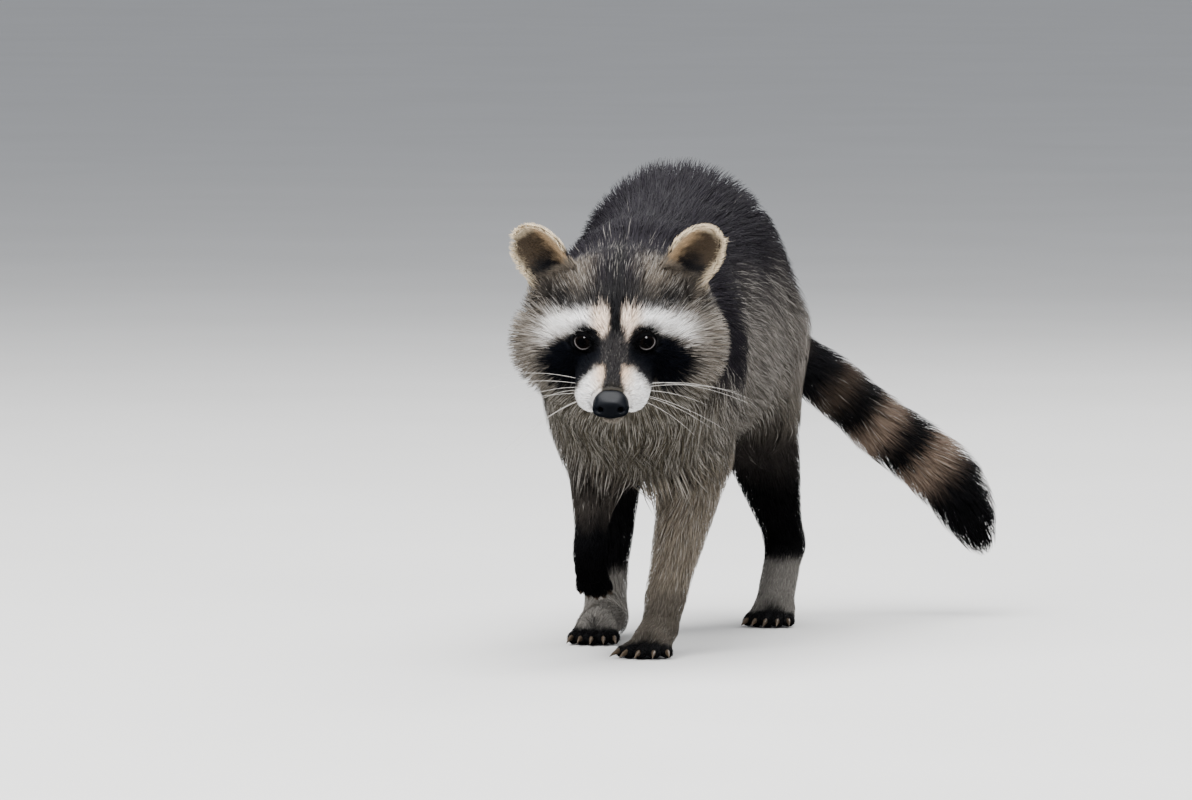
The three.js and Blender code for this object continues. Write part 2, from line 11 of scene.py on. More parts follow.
import bpy
import numpy as np
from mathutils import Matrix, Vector


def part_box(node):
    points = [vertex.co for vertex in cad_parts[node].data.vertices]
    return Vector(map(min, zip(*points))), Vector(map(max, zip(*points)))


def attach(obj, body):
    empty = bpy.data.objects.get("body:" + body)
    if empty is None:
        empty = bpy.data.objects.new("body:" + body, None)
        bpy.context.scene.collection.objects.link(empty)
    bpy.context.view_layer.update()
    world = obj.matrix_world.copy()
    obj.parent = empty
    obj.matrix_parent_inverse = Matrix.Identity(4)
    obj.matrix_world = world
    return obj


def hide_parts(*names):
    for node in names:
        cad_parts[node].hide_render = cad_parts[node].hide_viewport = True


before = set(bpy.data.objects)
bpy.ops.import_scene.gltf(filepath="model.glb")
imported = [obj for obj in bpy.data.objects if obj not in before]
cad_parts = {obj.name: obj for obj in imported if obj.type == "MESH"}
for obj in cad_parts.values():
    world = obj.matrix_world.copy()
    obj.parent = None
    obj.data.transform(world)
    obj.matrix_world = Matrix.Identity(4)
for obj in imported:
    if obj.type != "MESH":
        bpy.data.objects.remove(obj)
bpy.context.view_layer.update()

bl_info = {
    "name": "Walking raccoon",
    "version": (1, 0, 0),
    "blender": (4, 5, 0),
    "location": "View3D > Sidebar > Raccoon",
    "description": "Skin, coat, eyes, nose, claws, whiskers and stage of a life-size raccoon",
    "category": "Object",
}

MM = 0.001


def vec(*numbers):
    return np.array(numbers, dtype=np.float64)


# ---------------------------------------------------------------- the skeleton, in millimetres
# Radii reach the tips of the coat, and each depth is how far the skin lies under them.
SPINE = [  # centre, radius, depth, width over height
    (vec(4, -126, 199), 78, 22, 0.80),  # withers
    (vec(3, -42, 205), 85, 24, 0.81),  # ribs
    (vec(0, 50, 222), 88, 26, 0.80),  # loins
    (vec(0, 104, 215), 78, 25, 0.90),  # croup
]
FUR = [  # centre, half sizes, depth
    (vec(-1, -130, 152), vec(54, 56, 46), 22),  # chest
    (vec(0, 12, 176), vec(70, 92, 56), 21),  # belly
]
NECK = [(vec(4, -140, 212), 63, 22), (vec(3, -190, 201), 62, 22)]
HEAD_AT, HEAD_YAW, HEAD_PITCH = vec(6.5, -262, 208), math.radians(6), math.radians(14)
# In the head's own frame the origin is midway between the eyes and -y runs down the nose.
CRANIUM = [
    (vec(0, 45, 6), vec(45, 45, 37), 10),  # crown
    (vec(0, 20, 6), vec(30, 24, 21), 5),  # forehead
    (vec(0, 42, -36), vec(42, 34, 27), 15),  # throat
]
CHEEKS = [
    (vec(28, 28, -12), vec(25, 26, 25), 7),  # cheekbone
    (vec(42, 43, -14), vec(28, 24, 33), 17),  # ruff
    (vec(20, 7, -2), vec(13, 11.5, 12.5), 2.4),  # rim of the eye socket
    (vec(46, 47, 17), vec(11.5, 12, 12), 6),  # in front of the ear's outer base
]
BROW = [(vec(9, 7, 12), 7, 2.5), (vec(27, 13, 12), 9, 4)]
BRIDGE = [(vec(0, 10, 0), 12, 2.6), (vec(0, -50, -19), 10, 1.6)]
LIP = [(vec(12, -4, -21), 13, 2.8), (vec(11.8, -45.5, -21.4), 11.4, 2.4)]
JAW = [(vec(0, -4, -31), 14, 3), (vec(0, -40, -34.5), 7.8, 1.6)]
EYE_AT, EYE_R = vec(19, 2.4, -1), 7.2
EYE_ROWS, EYE_COLUMNS = 42, 56
CORNEA = 0.55  # how far the front of the eyeball swells
GAZE_OUT, GAZE_UP = math.radians(14), math.radians(6)
ALMOND_IN, ALMOND_OUT, ALMOND_HIGH = 5.5, 4.9, 4.3  # the margin of the lids about the gaze
GAP_WIDE, GAP_HIGH = 5.9, 4.9  # the opening in the skin that the lids fill
LID = 0.7  # how far the skin round the eye stands over the eyeball
LID_SIDES, LID_REACH = 64, math.radians(76)
# From inside the margin of the lids outwards: a share of the way to LID_REACH, and a height.
LID_PROFILE = [(-0.22, -0.5), (-0.05, 0.06), (-0.01, 0.15), (0.0, 0.36), (0.04, 0.55), (0.12, 0.74),
               (0.24, 0.78), (0.36, 0.62), (0.5, 0.3), (0.68, -0.1), (0.8, -0.6), (0.3, -0.9)]
NOSE_AT, NOSE_R = vec(0, -57.5, -24), vec(11.5, 9, 9.5)
EAR_ROOT, EAR_TURN = vec(40.5, 46.5, 34), math.radians(12)
EAR_LENGTH, EAR_SUNK, EAR_HALF, EAR_CUP = 35, 11, 18.5, 12
EAR_FUR, EAR_SIDE_FUR = 2.5, 2.2  # how much shorter and narrower the bare ear is
# Legs, each as joints of centre, radius and depth from the trunk down.
LEGS = {
    "left_fore": [(vec(34, -122, 184), 30, 14), (vec(33, -94, 122), 23, 8.5),
                  (vec(18, -127, 36), 12.5, 3.2), (vec(15, -131, 17), 11, 2),
                  (vec(12, -143, 11), 12.5, 1.8)],
    "right_fore": [(vec(-28, -128, 184), 30, 14), (vec(-28, -118, 124), 17.5, 6.5),
                   (vec(-26, -158, 72), 9.5, 2.2), (vec(-27, -154, 64), 9, 1.6),
                   (vec(-28, -143, 55), 9.5, 1.4)],
    "left_hind": [(vec(40, 104, 196), 40, 16), (vec(46, 74, 142), 30, 13),
                  (vec(54, 158, 58), 12.5, 3.2), (vec(55, 160, 50), 12.5, 2.6),
                  (vec(53, 121, 13), 12.5, 1.8)],
    "right_hind": [(vec(-40, 104, 196), 40, 16), (vec(-46, 36, 150), 31, 13),
                   (vec(-43, 14, 36), 13.5, 3.4), (vec(-42, 10, 13), 14, 2.4),
                   (vec(-40, -40, 11.5), 13, 1.8)],
}
TAIL = [(vec(2, 156, 208), 16, 7), (vec(44, 190, 182), 16, 8), (vec(80, 200, 156), 17, 9),
        (vec(113, 212, 126), 18, 10), (vec(137, 222, 108), 19, 11), (vec(156, 227, 91), 19.5, 12),
        (vec(169, 230, 68), 15.5, 11), (vec(177, 232, 49), 7, 5)]
# Toes: length, radius, degrees between two, distance between their roots.
FINGER, LIMP_FINGER = (25, 5.2, 12, 3.2), (25, 4.4, 5, 2.4)
TOE = (24, 5.4, 7, 4.1)
TOE_TIP, TOE_SOLE, TOE_DEPTH = 0.86, 0.72, 0.9
# For each foot its toes, which way they point and how far the paw hangs, in degrees.
FEET = {"left_fore": (FINGER, -8, 0), "right_fore": (LIMP_FINGER, 0, 143),
        "left_hind": (TOE, -3, 0), "right_hind": (TOE, 2, 0)}
CLAW_LENGTH, CLAW_R, CLAW_SUNK, CLAW_HOOK, CLAW_SIDES = 11, 2.1, 3.5, 3, 9
WHISKER_SIDES, WHISKER_SEED, COAT_SEED = 5, 11, 7
# How widely neighbouring shapes run into each other.
TRUNK_SOFT, LEG_SOFT, HEAD_SOFT, TAIL_SOFT = 24, 16, 14, 12
SKULL_SOFT, JOINT_SOFT, SNOUT_SOFT = 10, 8, 7

# Outlines of the left half of the face's markings, in its frontal plane.
MASK = [(10, 4), (13, 8.5), (18, 9), (27, 4.2), (40, 0.5), (48, -5.5), (53.5, -12), (48, -24),
        (40, -34.5), (28, -35.5), (21, -26), (15.5, -17), (7.8, -12)]
BROW_WHITE = [(3.4, 17), (4.2, 20.5), (9, 22), (15, 20.5), (23, 22), (34, 20.5), (46, 18), (60, 12),
              (64, 0), (57, -8), (49, -3.5), (40, 2), (31, 4), (24, 6.5), (19, 9.5), (14.5, 9),
              (11.5, 6), (9.4, 1.5), (6.4, 1.5), (4.6, 8)]
MUZZLE_WHITE = [(6, -16.5), (11.5, -17), (19.5, -24.5), (24.5, -33), (23.5, -41), (17.5, -49),
                (11, -54), (5, -55), (7, -40), (7.5, -30), (5.6, -22)]


def turn_z(a):
    return np.array([[math.cos(a), -math.sin(a), 0], [math.sin(a), math.cos(a), 0], [0, 0, 1]])


def turn_x(a):
    return np.array([[1, 0, 0], [0, math.cos(a), -math.sin(a)], [0, math.sin(a), math.cos(a)]])


def unit(v):
    """Vectors divided by their lengths."""
    v = np.asarray(v, dtype=np.float64)
    return v / np.maximum(np.linalg.norm(v, axis=-1, keepdims=True), 1e-9)


def square(v, axis):
    """A direction made square to an axis."""
    return unit(v - (v @ axis) * axis)


HEAD_TURN = turn_z(HEAD_YAW) @ turn_x(HEAD_PITCH)
GAZE = turn_z(GAZE_OUT) @ turn_x(-GAZE_UP)
EAR_AXIS = unit(vec(0.59, 0.06, 0.8))
EAR_ACROSS = square(vec(0.8, 0.08, -0.59), EAR_AXIS)
EAR_WIDE = EAR_ACROSS * math.cos(EAR_TURN) + np.cross(EAR_AXIS, EAR_ACROSS) * math.sin(EAR_TURN)


def to_head(p):
    """Points of the skeleton in the head's frame."""
    return ((p - HEAD_AT) @ HEAD_TURN).astype(p.dtype)


def from_head(p):
    return p @ HEAD_TURN.T + HEAD_AT


def middle(node):
    low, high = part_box(node)
    return (np.array(low) + np.array(high)) / 2


# The frame's origin is under the middle of the animal: how far that is from the skeleton's.
SHIFT = middle("nose") / MM - from_head(NOSE_AT)


def in_metres(p):
    return (p + SHIFT) * MM


# ---------------------------------------------------------------- blended shapes
def blend(a, b, k):
    """The smaller of two distances less h^2 k / 4, where h is 1 - |a - b| / k and at least 0."""
    h = np.maximum(k - np.abs(a - b), 0) / k
    return np.minimum(a, b) - h * h * (k / 4)


def cut(a, b, k):
    """Shape a with shape b taken away, the edge rounded about k wide."""
    return -blend(-a, b, k)


def blended(shapes, k):
    return functools.reduce(lambda a, b: blend(a, b, k), shapes)


def limb(p, a, b, ra, rb, wide=(1, 1)):
    """Distance to the segment ab less a radius that runs from ra to rb; wide, its width in x over
    its height, runs likewise."""
    a, b = a.astype(p.dtype), b.astype(p.dtype)
    axis = b - a
    q = p - a
    t = np.clip(q @ axis / (axis @ axis), 0, 1)
    q = q - t[:, None] * axis
    w = wide[0] + (wide[1] - wide[0]) * t
    return (np.sqrt((q[:, 0] / w) ** 2 + q[:, 1] ** 2 + q[:, 2] ** 2) - ra - (rb - ra) * t) * w


def ellipsoid(p, at, r):
    """s (s - 1) / |q / r| with q = (p - at) / r and s = |q|: a distance near its surface."""
    q = (p - at.astype(p.dtype)) / r.astype(p.dtype)
    s = np.linalg.norm(q, axis=1)
    return s * (s - 1) / np.maximum(np.linalg.norm(q / r.astype(p.dtype), axis=1), 1e-6)


def chain(p, joints, k, bare):
    """Limbs from joint to joint, blended; bare takes the coat's depth off the radii."""
    return blended((limb(p, a, b, ra - bare * da, rb - bare * db, (*wa, *wb) or (1, 1))
                    for (a, ra, da, *wa), (b, rb, db, *wb) in zip(joints, joints[1:])), k)


def both(p):
    """Points folded so that a shape at +x stands for one on each side."""
    return np.stack([np.abs(p[:, 0]), p[:, 1], p[:, 2]], axis=1)


# ---------------------------------------------------------------- the animal as shapes
def rounds(p, masses, bare):
    return [ellipsoid(p, at, r - bare * depth) for at, r, depth in masses]


def trunk(p, bare):
    spine, neck = (chain(p, joints, JOINT_SOFT, bare) for joints in (SPINE, NECK))
    return blended([spine, *rounds(p, FUR, bare), neck], TRUNK_SOFT)


def toes(name):
    """Five toes as (from, to, ahead, up), fanned from the last joint of the leg."""
    (length, r, spread, across), heading, hang = FEET[name]
    n = np.arange(-2, 3)
    turn = np.radians(heading + n * spread)
    ahead = np.stack([np.sin(turn), -np.cos(turn), 0 * turn], axis=1)
    aside = np.stack([np.cos(turn), np.sin(turn), 0 * turn], axis=1)
    up = np.tile(vec(0, 0, 1), (5, 1))
    start = aside * (n * across)[:, None]
    end = start + ahead * (length * (1.1 - 0.07 * np.abs(n) ** 1.5))[:, None]
    palm = LEGS[name][-1][0]
    start[:, 2], end[:, 2] = -2, 0 if hang else r * TOE_SOLE - palm[2]
    m = turn_x(math.radians(hang))
    return start @ m.T + palm, end @ m.T + palm, ahead @ m.T, up @ m.T


def paw_toes(p, name, bare):
    start, end = toes(name)[:2]
    r = FEET[name][0][1]
    return blended((limb(p, a, b, r - bare * TOE_DEPTH, r * TOE_TIP - bare * TOE_DEPTH)
                    for a, b in zip(start, end)), 1.5)


def leg(p, name, bare):
    joints = LEGS[name]
    d = chain(p, joints, 6, bare)
    near = np.linalg.norm(p - joints[-1][0].astype(p.dtype), axis=1) < 60
    if near.any():
        d[near] = blend(d[near], paw_toes(p[near], name, bare), 5)
    return d


def tail(p, bare):
    joints = list(TAIL)
    if bare:
        a, b = joints[-2], joints[-1]
        joints[-1] = ((a[0] + b[0]) / 2, 4.5, 2.5)
    return chain(p, joints, 5, bare)


def ear_frame(h):
    """Along, across and behind, for points of the head folded to its left side."""
    q = h - EAR_ROOT.astype(h.dtype)
    return q @ EAR_AXIS, q @ EAR_WIDE, q @ np.cross(EAR_AXIS, EAR_WIDE)


def ear_outline(t, bare):
    """Half the width of the ear at height t: nearly even, then a rounded end."""
    half = EAR_HALF - bare * EAR_SIDE_FUR
    end = np.clip((t - 0.28) / 0.72, 0, 1) ** 2.1
    return half * np.where(t < 0.3, 0.93 + 0.07 * t / 0.3, np.maximum(1 - end, 0.01) ** 0.5)


def ear_cup(u, half):
    """How far back the ear's middle bends: cup (1 - (u / half)^2), less where it is narrow."""
    return EAR_CUP * (1 - np.clip(u / half, -1, 1) ** 2) * half / EAR_HALF - EAR_CUP / 2


def ear(h, bare, thick=0.0):
    """A cupped plate whose wall thins to the rim."""
    along, u, back = ear_frame(h)
    length = EAR_LENGTH - bare * EAR_FUR
    half = ear_outline(np.clip(along / length, 0, 1), bare)
    slope = 1 / np.sqrt(1 + (2 * EAR_CUP * np.clip(u / half, -1, 1) / EAR_HALF) ** 2)
    middle_out = np.clip(1 - (u / half) ** 2, 0, 1)
    wall = (2.6 + 2.4 * middle_out) - bare * (1.1 + 1.0 * middle_out) + thick
    over = np.maximum(np.abs(u) - half + wall / 2, along - length + wall / 2)
    face = np.abs(back - ear_cup(u, half)) * slope
    d = np.hypot(np.maximum(over, 0), face) - wall / 2
    return np.maximum(d, -(along + EAR_SUNK))


def eye_frame(h):
    """Points about the left eye, whose gaze turns a little out and up."""
    return (h - EYE_AT.astype(h.dtype)) @ GAZE.astype(h.dtype)


def lid_gap(q):
    """Distance to the almond between the lids, seen along the gaze; its corners droop inwards."""
    x, z = q[:, 0], q[:, 2] - 0.2 - 0.12 * q[:, 0]
    s = np.hypot(x / GAP_WIDE, z / GAP_HIGH)
    return (s - 1) * 5


def skull(h, f, bare):
    return rounds(h, CRANIUM, bare) + rounds(f, CHEEKS, bare)


def snout(h, f, bare):
    return [chain(q, joints, SNOUT_SOFT, bare) for q, joints in ((h, BRIDGE), (f, LIP), (h, JAW))]


def head(p, bare, thick=0.0):
    h = to_head(p)
    f = both(h)
    d = blended([*skull(h, f, bare), chain(f, BROW, JOINT_SOFT, bare)], SKULL_SOFT)
    d = blend(d, blended(snout(h, f, bare), SNOUT_SOFT), SNOUT_SOFT)
    if bare:
        d = face_folds(h, f, d)
    return blend(d, ear(f, bare, thick), 6 if bare else 4)


def face_folds(h, f, d):
    """Lids over the eyeballs, the gap between them, the mouth line and the bed of the nose."""
    q = eye_frame(f)
    ball = np.linalg.norm(q, axis=1)
    front = -q[:, 1]
    d = blend(d, ball - EYE_R - LID, 2.5)
    crease = np.abs(ball - EYE_R - LID - 0.4) + np.abs(q[:, 2] - 6.6 + 0.02 * q[:, 0] ** 2) * 0.6
    d = cut(d, np.where(front > 0, crease - 0.55, 9), 0.8)
    opening = np.maximum(lid_gap(q), -front)
    d = cut(d, np.minimum(ball - EYE_R - 0.12, opening), 0.5)
    tear = np.linalg.norm((q - vec(-6.9, -4.3, -1.2)) / vec(1.8, 2.4, 0.9), axis=1) - 1
    d = cut(d, tear * 0.9, 0.7)
    mouth = -35.5 + 0.07 * (h[:, 1] + 40) + 0.0042 * f[:, 0] ** 2 + 0.004 * (h[:, 1] + 50) ** 2
    slit = np.maximum(np.abs(h[:, 2] - mouth) - 0.35, h[:, 1] + 12 + 0.2 * f[:, 0])
    inner = ellipsoid(h, vec(0, -18, -34), vec(17, 34, 9))
    d = cut(d, np.maximum(slit, -inner - 1.0), 0.9)
    groove = np.maximum(np.abs(h[:, 0]) - 0.25, np.abs(h[:, 2] + 34) - 5)
    d = cut(d, np.maximum(groove, h[:, 1] + 48), 0.8)
    nose = np.linalg.norm((h - NOSE_AT) / (NOSE_R - 0.8), axis=1) - 1
    return cut(d, nose * 9, 1.2)


def animal(p, bare, thick=0.0):
    """Distance to the whole animal: its skin when bare is 1, its coat's outline when bare is 0."""
    d = blended([trunk(p, bare), *(leg(p, name, bare) for name in LEGS)], LEG_SOFT)
    d = blend(d, tail(p, bare), TAIL_SOFT)
    d = blend(d, head(p, bare, thick), HEAD_SOFT)
    floor = -p[:, 2] + (0.6 if bare else 0)
    return np.maximum(d, floor)


def bare_animal(p):
    return animal(p, 1)


def outline(p):
    return animal(p, 0)


# ---------------------------------------------------------------- from a shape to a mesh
BLOCK = 4  # grid points along each side of a block
CORNERS = list(np.ndindex(2, 2, 2))  # of a cell


def field(shape, lines):
    """The shape on a grid: coarse blocks first, then each point of the blocks near the surface."""
    n = [len(line) for line in lines]
    coarse = [line[::BLOCK] for line in lines]
    mesh = np.stack(np.meshgrid(*coarse, indexing="ij"), axis=-1).reshape(-1, 3)
    rough = shape(mesh.astype(np.float32)).reshape([len(c) for c in coarse])
    reach = 1.7 * np.linalg.norm([np.diff(c).max() for c in coarse])
    near = np.abs(rough) < reach
    for axis in range(3):
        grown = near.copy()
        ahead, behind = [slice(None)] * 3, [slice(None)] * 3
        ahead[axis], behind[axis] = slice(1, None), slice(None, -1)
        grown[tuple(ahead)] |= near[tuple(behind)]
        grown[tuple(behind)] |= near[tuple(ahead)]
        near = grown
    values, close = rough, near
    for axis in range(3):
        values, close = (np.repeat(grid, BLOCK, axis=axis).take(range(n[axis]), axis=axis)
                         for grid in (values, close))
    i, j, k = np.nonzero(close)
    points = np.stack([lines[0][i], lines[1][j], lines[2][k]], axis=1).astype(np.float32)
    values[i, j, k] = shape(points)
    return values


def surface(shape, lines):
    """One point in each cell that the surface crosses, and four points joined at each edge."""
    f = field(shape, lines)
    inside = f < 0
    n = f.shape
    count = np.zeros([m - 1 for m in n], np.int8)
    for a, b, c in CORNERS:
        count += inside[a:n[0] - 1 + a, b:n[1] - 1 + b, c:n[2] - 1 + c]
    i, j, k = np.nonzero((count > 0) & (count < 8))
    ids = np.full(count.shape, -1, np.int64)
    ids[i, j, k] = np.arange(len(i))
    total, hits = np.zeros((len(i), 3)), np.zeros(len(i))
    for corner in CORNERS:
        for axis in range(3):
            if corner[axis]:
                continue
            other = [c + (m == axis) for m, c in enumerate(corner)]
            at = [i + corner[0], j + corner[1], k + corner[2]]
            to = [i + other[0], j + other[1], k + other[2]]
            fa, fb = f[tuple(at)], f[tuple(to)]
            crossed = (fa < 0) != (fb < 0)
            t = np.where(crossed, fa / np.where(crossed, fa - fb, 1), 0)
            for m in range(3):
                step = lines[m][to[m]] - lines[m][at[m]]
                total[:, m] += np.where(crossed, lines[m][at[m]] + t * step, 0)
            hits += crossed
    points = total / hits[:, None]
    quads = []
    for axis in range(3):
        u, w = (axis + 1) % 3, (axis + 2) % 3
        low, high = [slice(1, -1)] * 3, [slice(1, -1)] * 3
        low[axis], high[axis] = slice(0, -1), slice(1, None)
        edge = inside[tuple(low)] != inside[tuple(high)]
        e = np.array(np.nonzero(edge))
        e[u] += 1
        e[w] += 1
        ring = []
        for du, dw in ((-1, -1), (0, -1), (0, 0), (-1, 0)):
            cell = e.copy()
            cell[u] += du
            cell[w] += dw
            ring.append(ids[tuple(cell)])
        ring = np.stack(ring, axis=1)
        starts_in = inside[tuple(e)]
        quads.append(np.where(starts_in[:, None], ring, ring[:, ::-1]))
    return points, np.concatenate(quads)


def halves(points, quads):
    """Each quad as two triangles across its shorter diagonal."""
    a, b, c, d = quads.T
    ac = np.linalg.norm(points[a] - points[c], axis=1)
    bd = np.linalg.norm(points[b] - points[d], axis=1)
    first = np.where((ac < bd)[:, None], np.stack([a, b, c], 1), np.stack([a, b, d], 1))
    second = np.where((ac < bd)[:, None], np.stack([a, c, d], 1), np.stack([b, c, d], 1))
    return np.concatenate([first, second])


def slope(p, shape, step=0.05):
    """The gradient of a shape, from its value at the corners of a small tetrahedron."""
    corners = np.array([(1, 1, 1), (1, -1, -1), (-1, 1, -1), (-1, -1, 1)], dtype=np.float64)
    return sum(shape(p + step * c)[:, None] * c for c in corners) / (4 * step)


def settle(p, shape, rounds=3, reach=1.5):
    """Points moved along the slope on to the surface, at most reach in each round."""
    for _ in range(rounds):
        g = slope(p, shape)
        move = -shape(p)[:, None] * g / np.maximum((g ** 2).sum(1, keepdims=True), 0.2)
        size = np.linalg.norm(move, axis=1, keepdims=True)
        p = p + move * np.minimum(1, reach / np.maximum(size, 1e-9))
    return p


def edges_of(faces):
    """Each edge once, and for each face the numbers of its three edges."""
    pairs = np.sort(np.stack([faces, np.roll(faces, -1, axis=1)], axis=2).reshape(-1, 2), axis=1)
    keys = pairs[:, 0] * (int(faces.max()) + 1) + pairs[:, 1]
    _, first, back = np.unique(keys, return_index=True, return_inverse=True)
    return pairs[first], back.reshape(-1, 3)


def relaxed(points, faces, amount):
    """Each point moved towards the mean of its neighbours."""
    edges, _ = edges_of(faces)
    total = np.zeros_like(points)
    for m in range(3):
        total[:, m] = (np.bincount(edges[:, 0], points[edges[:, 1], m], len(points))
                       + np.bincount(edges[:, 1], points[edges[:, 0], m], len(points)))
    count = np.bincount(edges.ravel(), minlength=len(points))
    return points + amount * (total / np.maximum(count, 1)[:, None] - points)


def refined(points, faces, target):
    """Splits each edge longer than the target there, and its faces into two, three or four."""
    edges, of_face = edges_of(faces)
    a, b = points[edges[:, 0]], points[edges[:, 1]]
    long = np.linalg.norm(a - b, axis=1) > 1.35 * target((a + b) / 2)
    new = np.where(long, len(points) + np.cumsum(long) - 1, -1)
    points = np.concatenate([points, ((a + b) / 2)[long]])
    marks = long[of_face]
    n = marks.sum(1)
    made = [faces[n == 0]]
    # Faces are turned so that a single mark is on the first edge, and two on the first and second.
    first = np.where(n == 1, marks.argmax(1), np.where(n == 2, (marks.argmin(1) + 1) % 3, 0))
    order = (first[:, None] + np.arange(3)) % 3
    v = np.take_along_axis(faces, order, 1)
    m = np.take_along_axis(new[of_face], order, 1)
    for marked, splits in (
        (1, ("v0 m0 v2", "m0 v1 v2")),
        (2, ("v0 m0 m1", "m0 v1 m1", "v0 m1 v2")),
        (3, ("v0 m0 m2", "m0 v1 m1", "m2 m1 v2", "m0 m1 m2")),
    ):
        chosen = n == marked
        for split in splits:
            ends = [(v if s[0] == "v" else m)[chosen, int(s[1])] for s in split.split()]
            made.append(np.stack(ends, axis=1))
    return points, np.concatenate(made)


def spaced(*stops):
    """Grid lines from stops of (start, end, spacing), one after another."""
    line = [stops[0][0]]
    for start, end, spacing in stops:
        n = max(1, round((end - start) / spacing))
        line += list(start + (end - start) * np.arange(1, n + 1) / n)
    while len(line) % BLOCK != 1:
        line.append(2 * line[-1] - line[-2])
    return np.array(line)


BODY_EDGE, HEAD_EDGE, FOOT_EDGE, LID_EDGE, NOSE_EDGE = 4.6, 2.6, 2.4, 0.6, 0.9


def skin_size(p):
    """The length of an edge of the skin: small at the lids and nose, larger over the body."""
    h = both(to_head(p))
    eye = np.linalg.norm(h - EYE_AT - vec(0, -5, 0), axis=1)
    nose = np.linalg.norm(h - vec(4, -52, -27), axis=1)
    size = np.full(len(p), BODY_EDGE)
    size = np.minimum(size, LID_EDGE + np.maximum(eye - 9, 0) * 0.09)
    size = np.minimum(size, NOSE_EDGE + np.maximum(nose - 14, 0) * 0.06)
    on_head = (h[:, 1] < 70) & (np.linalg.norm(h, axis=1) < 110)
    size = np.where(on_head, np.minimum(size, HEAD_EDGE), size)
    on_foot = (p[:, 2] < 34) & (h[:, 1] > 0)
    return np.where(on_foot, np.minimum(size, FOOT_EDGE), size)


THICKER_EARS = 2.2  # so that the grid, wider than their walls, does not miss them
SKIN_LINES = (spaced((-92, 200, 3.2)), spaced((-332, -190, 2.8), (-190, 262, 3.6)),
              spaced((-6, 321, 3.2)))


def bare_skin():
    """The skin as points and triangles: a grid walk, split finer where it needs to be."""
    def thick(p):
        return animal(p, 1, THICKER_EARS)

    points, quads = surface(thick, SKIN_LINES)
    points = settle(points, thick, 2)
    faces = halves(points, quads)
    for _ in range(2):
        points = settle(relaxed(points, faces, 0.5), bare_animal, 2)
    for _ in range(3):
        points, faces = refined(points, faces, skin_size)
        points = settle(relaxed(points, faces, 0.35), bare_animal, 2)
    return settle(points, bare_animal, 2), faces


# ---------------------------------------------------------------- chance and small patterns
def grain(p, size, seed):
    """Smooth noise from 0 to 1: random numbers at the corners of cubes, blended by 3t^2 - 2t^3."""
    q = p / size
    low = np.floor(q).astype(np.int64)
    t = q - low
    t = t * t * (3 - 2 * t)
    total = np.zeros(len(p))
    for corner in range(8):
        off = np.array([corner & 1, corner >> 1 & 1, corner >> 2 & 1])
        c = low + off
        h = c[:, 0] * 73856093 ^ c[:, 1] * 19349663 ^ c[:, 2] * 83492791 ^ seed * 2654435761
        h = (h ^ (h >> 13)) * 1274126177
        value = ((h ^ (h >> 16)) & 0xFFFF) / 65535.0
        total += value * np.where(off, t, 1 - t).prod(1)
    return total


def step(low, high, x):
    """0 below low, 1 above high and 3t^2 - 2t^3 between them."""
    t = np.clip((x - low) / (high - low), 0, 1)
    return t * t * (3 - 2 * t)


def patch(outline, x, y):
    """Distance to a closed outline in the plane, negative inside it."""
    corners = np.array(outline, dtype=np.float64)
    best = np.full(len(x), 1e9)
    inside = np.zeros(len(x), bool)
    for (ax, ay), (bx, by) in zip(corners, np.roll(corners, -1, axis=0)):
        ex, ey = bx - ax, by - ay
        t = np.clip(((x - ax) * ex + (y - ay) * ey) / (ex * ex + ey * ey), 0, 1)
        best = np.minimum(best, np.hypot(x - ax - t * ex, y - ay - t * ey))
        crosses = (ay > y) != (by > y)
        inside ^= crosses & (x < ax + (y - ay) * ex / (ey if ey else 1e-9))
    return np.where(inside, -best, best)


def mix(a, b, t):
    """Colours or numbers a and b in the shares 1 - t and t."""
    a, b = np.asarray(a, dtype=np.float64), np.asarray(b, dtype=np.float64)
    t = np.asarray(t)[:, None]
    return a * (1 - t) + b * t


def shade(red, green, blue):
    """A colour given in display values from 0 to 255, as a linear colour."""
    c = np.array([red, green, blue]) / 255
    return np.where(c <= 0.04045, c / 12.92, ((c + 0.055) / 1.055) ** 2.4)


# ---------------------------------------------------------------- colours of the coat
FOREHEAD = shade(33, 32, 33)
BRIDGE_BROWN = shade(40, 38, 39)
BLACK = shade(11, 11, 14)
CREAM = shade(232, 204, 178)
BEIGE = shade(112, 103, 92)
RIM = shade(213, 195, 165)
EAR_DARK = shade(64, 53, 41)
ARM = shade(130, 120, 106)
UNDERFUR = shade(84, 74, 62)
SILVER = shade(160, 155, 148)


class Tints:
    """The coat's own colours, which the settings may change."""

    back = shade(34, 31, 37)
    flank = shade(116, 110, 104)
    throat = shade(84, 78, 66)
    cheek = shade(142, 133, 122)
    white = shade(250, 247, 244)
    mask = shade(8, 11, 19)
    ear = shade(170, 143, 110)
    ring = shade(124, 106, 92)
    foot = shade(130, 126, 120)


TINTS = [name for name in vars(Tints) if not name.startswith("_")]


def regions(p):
    """Distances to the bare trunk, each leg, the tail, the head without its ears, and the ears."""
    h = to_head(p)
    f = both(h)
    return {
        "trunk": trunk(p, 1), "tail": tail(p, 1),
        "head": np.minimum.reduce(skull(h, f, 1) + snout(h, f, 1)),
        "ear": ear(f, 1), **{name: leg(p, name, 1) for name in LEGS},
    }


